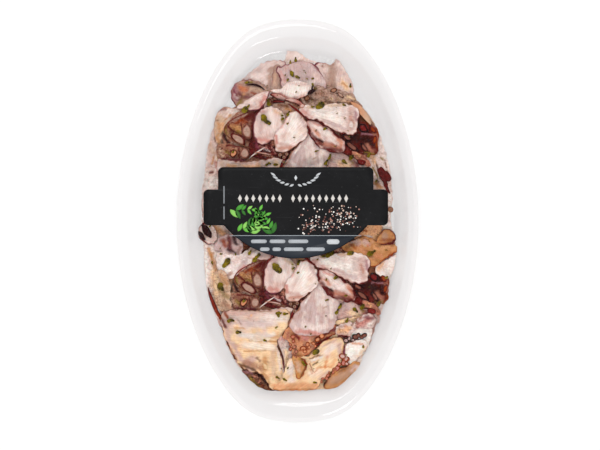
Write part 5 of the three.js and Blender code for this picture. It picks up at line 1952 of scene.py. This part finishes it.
def cup(x, y, radius, flesh, skin, stretch=1.0, turn=0.0, dark=0.55, dimple=0.16, sink=0.1):
    """A cup on the heap, sunk into it by a share of its radius. At share r of the radius its height
    is radius (0.5 sqrt(1 - r^4) - dimple exp(-(r / 0.42)^2)). The skin's colour starts at `dark`."""
    share = np.linspace(1, 0.04, CUP_RINGS)[:, None]
    angle = full_turn(CUP_AROUND)
    round_x = np.cos(angle) * radius
    round_y = np.sin(angle) * radius
    wobble = 1 + 0.08 * swell(round_x + x, round_y + y, 4, 7)
    ahead = share * round_x * stretch * wobble
    aside = share * round_y / stretch * wobble
    px, py = turned(x, y, ahead, aside, turn)
    ring = CUP_RISE * np.sqrt(np.clip(1 - share**4, 0, 1))
    rise = radius * (ring - dimple * np.exp(-((share / DIMPLE_REACH) ** 2))) + 0 * angle
    bed = bed_under(np.array([x - 1, x + 1.0]), np.array([y - 1, y + 1.0]), 6).mean()
    z = bed - sink * radius + rise
    raise_field(px, py, z)
    rings = np.stack([px, py, z], -1)
    foot = rings[:1] - (0, 0, radius * CUP_FOOT)
    shape = loft(np.concatenate([foot, rings]), foot[0].mean(0), rings[-1].mean(0))
    far = np.concatenate([np.ones(CUP_AROUND), np.repeat(share.ravel(), CUP_AROUND), [1, 0]])
    edge = np.clip((far - dark) / (SKIN_FULL - dark), 0, 1)
    return (*shape, even_layers(shape[0], edge, flesh, skin, 0.2))


def frill(start, end, count, radius, flesh, skin):
    """Cups in a row that wavers from side to side."""
    number = np.arange(count)
    way = np.array(end) - np.array(start)
    normal = np.array([-way[1], way[0]]) / np.hypot(*way)
    sway = 0.7 * np.sin(number * 2.1)[:, None]
    places = np.array(start) + np.linspace(0, 1, int(count))[:, None] * way + sway * normal
    sizes = radius * (1 + 0.22 * np.cos(number * 1.7))
    return [
        cup(*place, size, flesh, skin, 1.15, 1.3 * k, dark=0.35, dimple=0.3, sink=0.45)
        for k, (place, size) in enumerate(zip(places, sizes))
    ]


def rows_in(text):
    """The values of each line."""
    return [values_in(line) for line in text.strip().splitlines()]


def at_both(rows):
    """The rows at each place of the group that lies there twice. They start with X and Y."""
    return [(x + dx, y + dy, *rest) for dx, dy in GROUP_PLACES for x, y, *rest in rows]


# %% All suckers
# X, Y, radius, flesh, skin and, where they aren't usual, stretch, turn, dark and dimple.
GROUP_CUPS = rows_in("""
-26.4 47 3.3 beige russet 1.25 1.75 0.5
-31.2 43 3.2 beige maroon 1.5 -0.62 0.5
-33.6 35.4 2 clay maroon 1.2 0.9 0.5
-27.6 35.4 2.7 beige russet 1.1 1.3 0.5
26 43.6 1.8 russet ink 1.5 -0.55 0.3
28.4 39 2.6 russet ink 1.7 -0.7 0.3
35 38.4 1.9 russet ink 1.7 -1 0.3
34.4 48.6 2.5 wine ink 1.2 -0.6 0.2 0.35
39.6 47.8 1.7 rust maroon 1.4 -0.9 0.3
40.6 42.6 1.6 rust maroon 1.5 1.4 0.4
33.4 30.8 1.9 wine maroon 1.3 -0.3
2.4 60.2 1.2 rose salmon 1.1 0.6
-9.2 34.6 0.8 umber beige
-7 33.2 0.8 umber beige
-5.6 35 0.8 umber beige
-7.3 31 0.8 umber beige""")
LONE_CUPS = rows_in("""
49 6 1.5 fawn umber
19 68.4 1.5 fawn bark 1.25 0.1 0.4
22.6 66 1.3 beige bark 1.5 -0.7 0.5
5 64.2 1.4 umber bark 1.1 0.7""")
# Rows of small ones: from, to, how many, radius, flesh and skin.
FRILLS = rows_in("""
25.4,-72.4 20.6,-77.4 4 1.5 blush rust
19.4,-78 12.6,-84.4 7 0.9 salmon rust
23.6,-71 26.4,-74.6 3 1.4 rose rust
25.4,-62.6 29,-61.8 3 1.1 lilac ink
30.4,-60.8 35,-60.2 4 1.3 russet ink
3,-66.8 13,-60.6 5 1.3 clay rust
4,-68.4 9,-65 3 0.9 clay rust
-1.8,-66 -0.6,-71 3 1 salmon umber
-2.4,-60.6 -3.6,-67 4 1 salmon rust""")

cups = [cup(*row) for row in at_both(GROUP_CUPS) + LONE_CUPS]
cups += [shape for row in FRILLS for shape in frill(*row)]
print(len(cups), "suckers")
add_food("suckers", cups, slice_flesh)

# %% [markdown]
# ## Herb flakes
#
# Dried herbs have soaked up oil and lie flat on the flesh. A flake is a fold a few millimetres
# long, with ragged edges and an olive finish.

# %% One flake
def flake(x, y, length, turn, number):
    """A flake round x, y with its length along a direction."""
    length = length * 1.15
    start, end = (turned(x, y, way * length / 2, 0, math.radians(turn)) for way in (-1, 1))
    broad = length * 0.55
    widths = (broad * 0.8, broad, broad * (0.75 + 0.25 * math.cos(number)), broad * 0.7)
    bend = length * 0.1 * math.sin(number * 2.4)
    relief = {"thick": 0.3, "ruffle": 0.12, "swell": 0.12, "stiff": 3, "ragged": 0.3}
    relief["grain"] = min(0.25, length / 8)
    rim = (0.15, 0.15)
    facts = fold(start, end, bend, widths, "herb", "herb_dark", rim, skin="herb_dark", **relief)
    return lay(facts, 7000 + number * 40)


def herb_material():
    """Olive leaf, yellower in patches and darker in a fine grain."""
    material, tree = new_material("herb_flake")
    place = object_place(tree)
    colour = wire(tree, "ShaderNodeAttribute", attribute_name="Flesh").outputs["Color"]
    patch = between(tree, noise(tree, place, 700, 3, 0.6), 0.45, 0.7, 0, 0.8)
    vein = noise(tree, place, 2600)
    mixed = blend_colours(tree, patch, colour, opaque("968006"))
    dark = between(tree, vein, 0.48, 0.62, 0, 0.8)
    finish = {
        "Base Color": blend_colours(tree, dark, mixed, opaque("2a1e08")),
        "Roughness": 0.5,
        "Specular IOR Level": 0.1,
        "Normal": bumps(tree, vein, 0.1),
    }
    return finish_with(material, wire(tree, PRINCIPLED, finish))


herb_leaf = herb_material()
print("finish:", herb_leaf.name)

# %% All flakes
# X, Y, length and direction in degrees.
GROUP_FLAKES = values_in("""
-27.5,58.4,3.6,40 -25.7,60.2,2,60 -16.2,53.4,5.8,-46 -14.9,62,3.6,92 -15.8,29.8,2.2,30
-14.6,30.2,1.6,-50 -11.4,29.3,2.2,10 11.6,60.6,4.6,38 8,59.7,1.7,0 10,36.4,2,20 16.4,33.6,3,65
15.2,30.6,3,62 24.6,31,3,-38 28.2,33.4,3,50 14.6,48,2.2,25 9.6,47.4,1.3,80 19.8,39.1,1.6,15
-5.1,50.9,1.4,40 -8,55.4,1.3,0 -7.6,53.2,2,30 37.4,34.6,2.6,50 -33.6,36.4,2,50 -4.6,56.2,2.6,70""")
LONE_FLAKES = values_in("""
-1,85,2.6,95 -4,83.8,1.9,85 0,75.5,2.4,-25 -2.8,77.4,3.2,-65 -5,74,1.6,60 8,74.8,1.4,20
8.3,71.4,1.9,-70 28,71.3,2.2,85 24.5,61,1.8,-20 -26.6,72.8,2.2,10 -37.2,-22,5.4,52
-39.7,-34.4,4.4,-65 -35,-52.6,3.6,5 -31,-58.4,2.8,5 -40,-17.2,1.5,10 -32.2,-17.3,1.4,80
-10.2,-49,2.6,100 -6.6,-48.6,2,5 -11,-55.7,1.6,40 -17,-62.6,1.9,-20 -10.6,-82.4,2,-25
-6.6,-83.1,2.4,-30 -5,-77,1.3,60 9.8,-68.9,3.6,35 3.6,-74.4,3,-45 9.2,-85,2,0 25.8,-51.9,2.6,70
38.6,-16.4,4.6,22 46.6,-15.4,1.4,0 34.4,-66,1.6,90 46.6,-29.6,1.9,30 -44.9,-22,1.8,-70
-25,-16.4,2.6,60 -20.6,-18.6,3.4,40 -46,-2.6,1.6,50 27.6,-16.8,3.4,20 41.5,21,1.6,50
-8.8,-48.2,1.4,40 0.4,-27,1.3,0""")
BITS = 70  # crumbs of the same herbs, scattered over the heap
BITS_LOW, BITS_HIGH = -84, 80  # the Y between which they lie
HEAP_WIDTH = ((-88, -60, 0, 40, 80), (18, 34, 46, 38, 10))  # at these Y, half the heap's width

flake_places = at_both(GROUP_FLAKES) + LONE_FLAKES
bit_draw = np.random.default_rng(31)
for _ in range(BITS):
    aside = bit_draw.uniform(-1, 1)
    y = bit_draw.uniform(BITS_LOW, BITS_HIGH)
    x = aside * np.interp(y, *HEAP_WIDTH)
    flake_places.append((x, y, bit_draw.uniform(0.6, 1.1), bit_draw.uniform(0, 180)))
flakes = [flake(*place, number) for number, place in enumerate(flake_places)]
print(len(flakes), "flakes")
add_food("herb_flakes", flakes, herb_leaf)
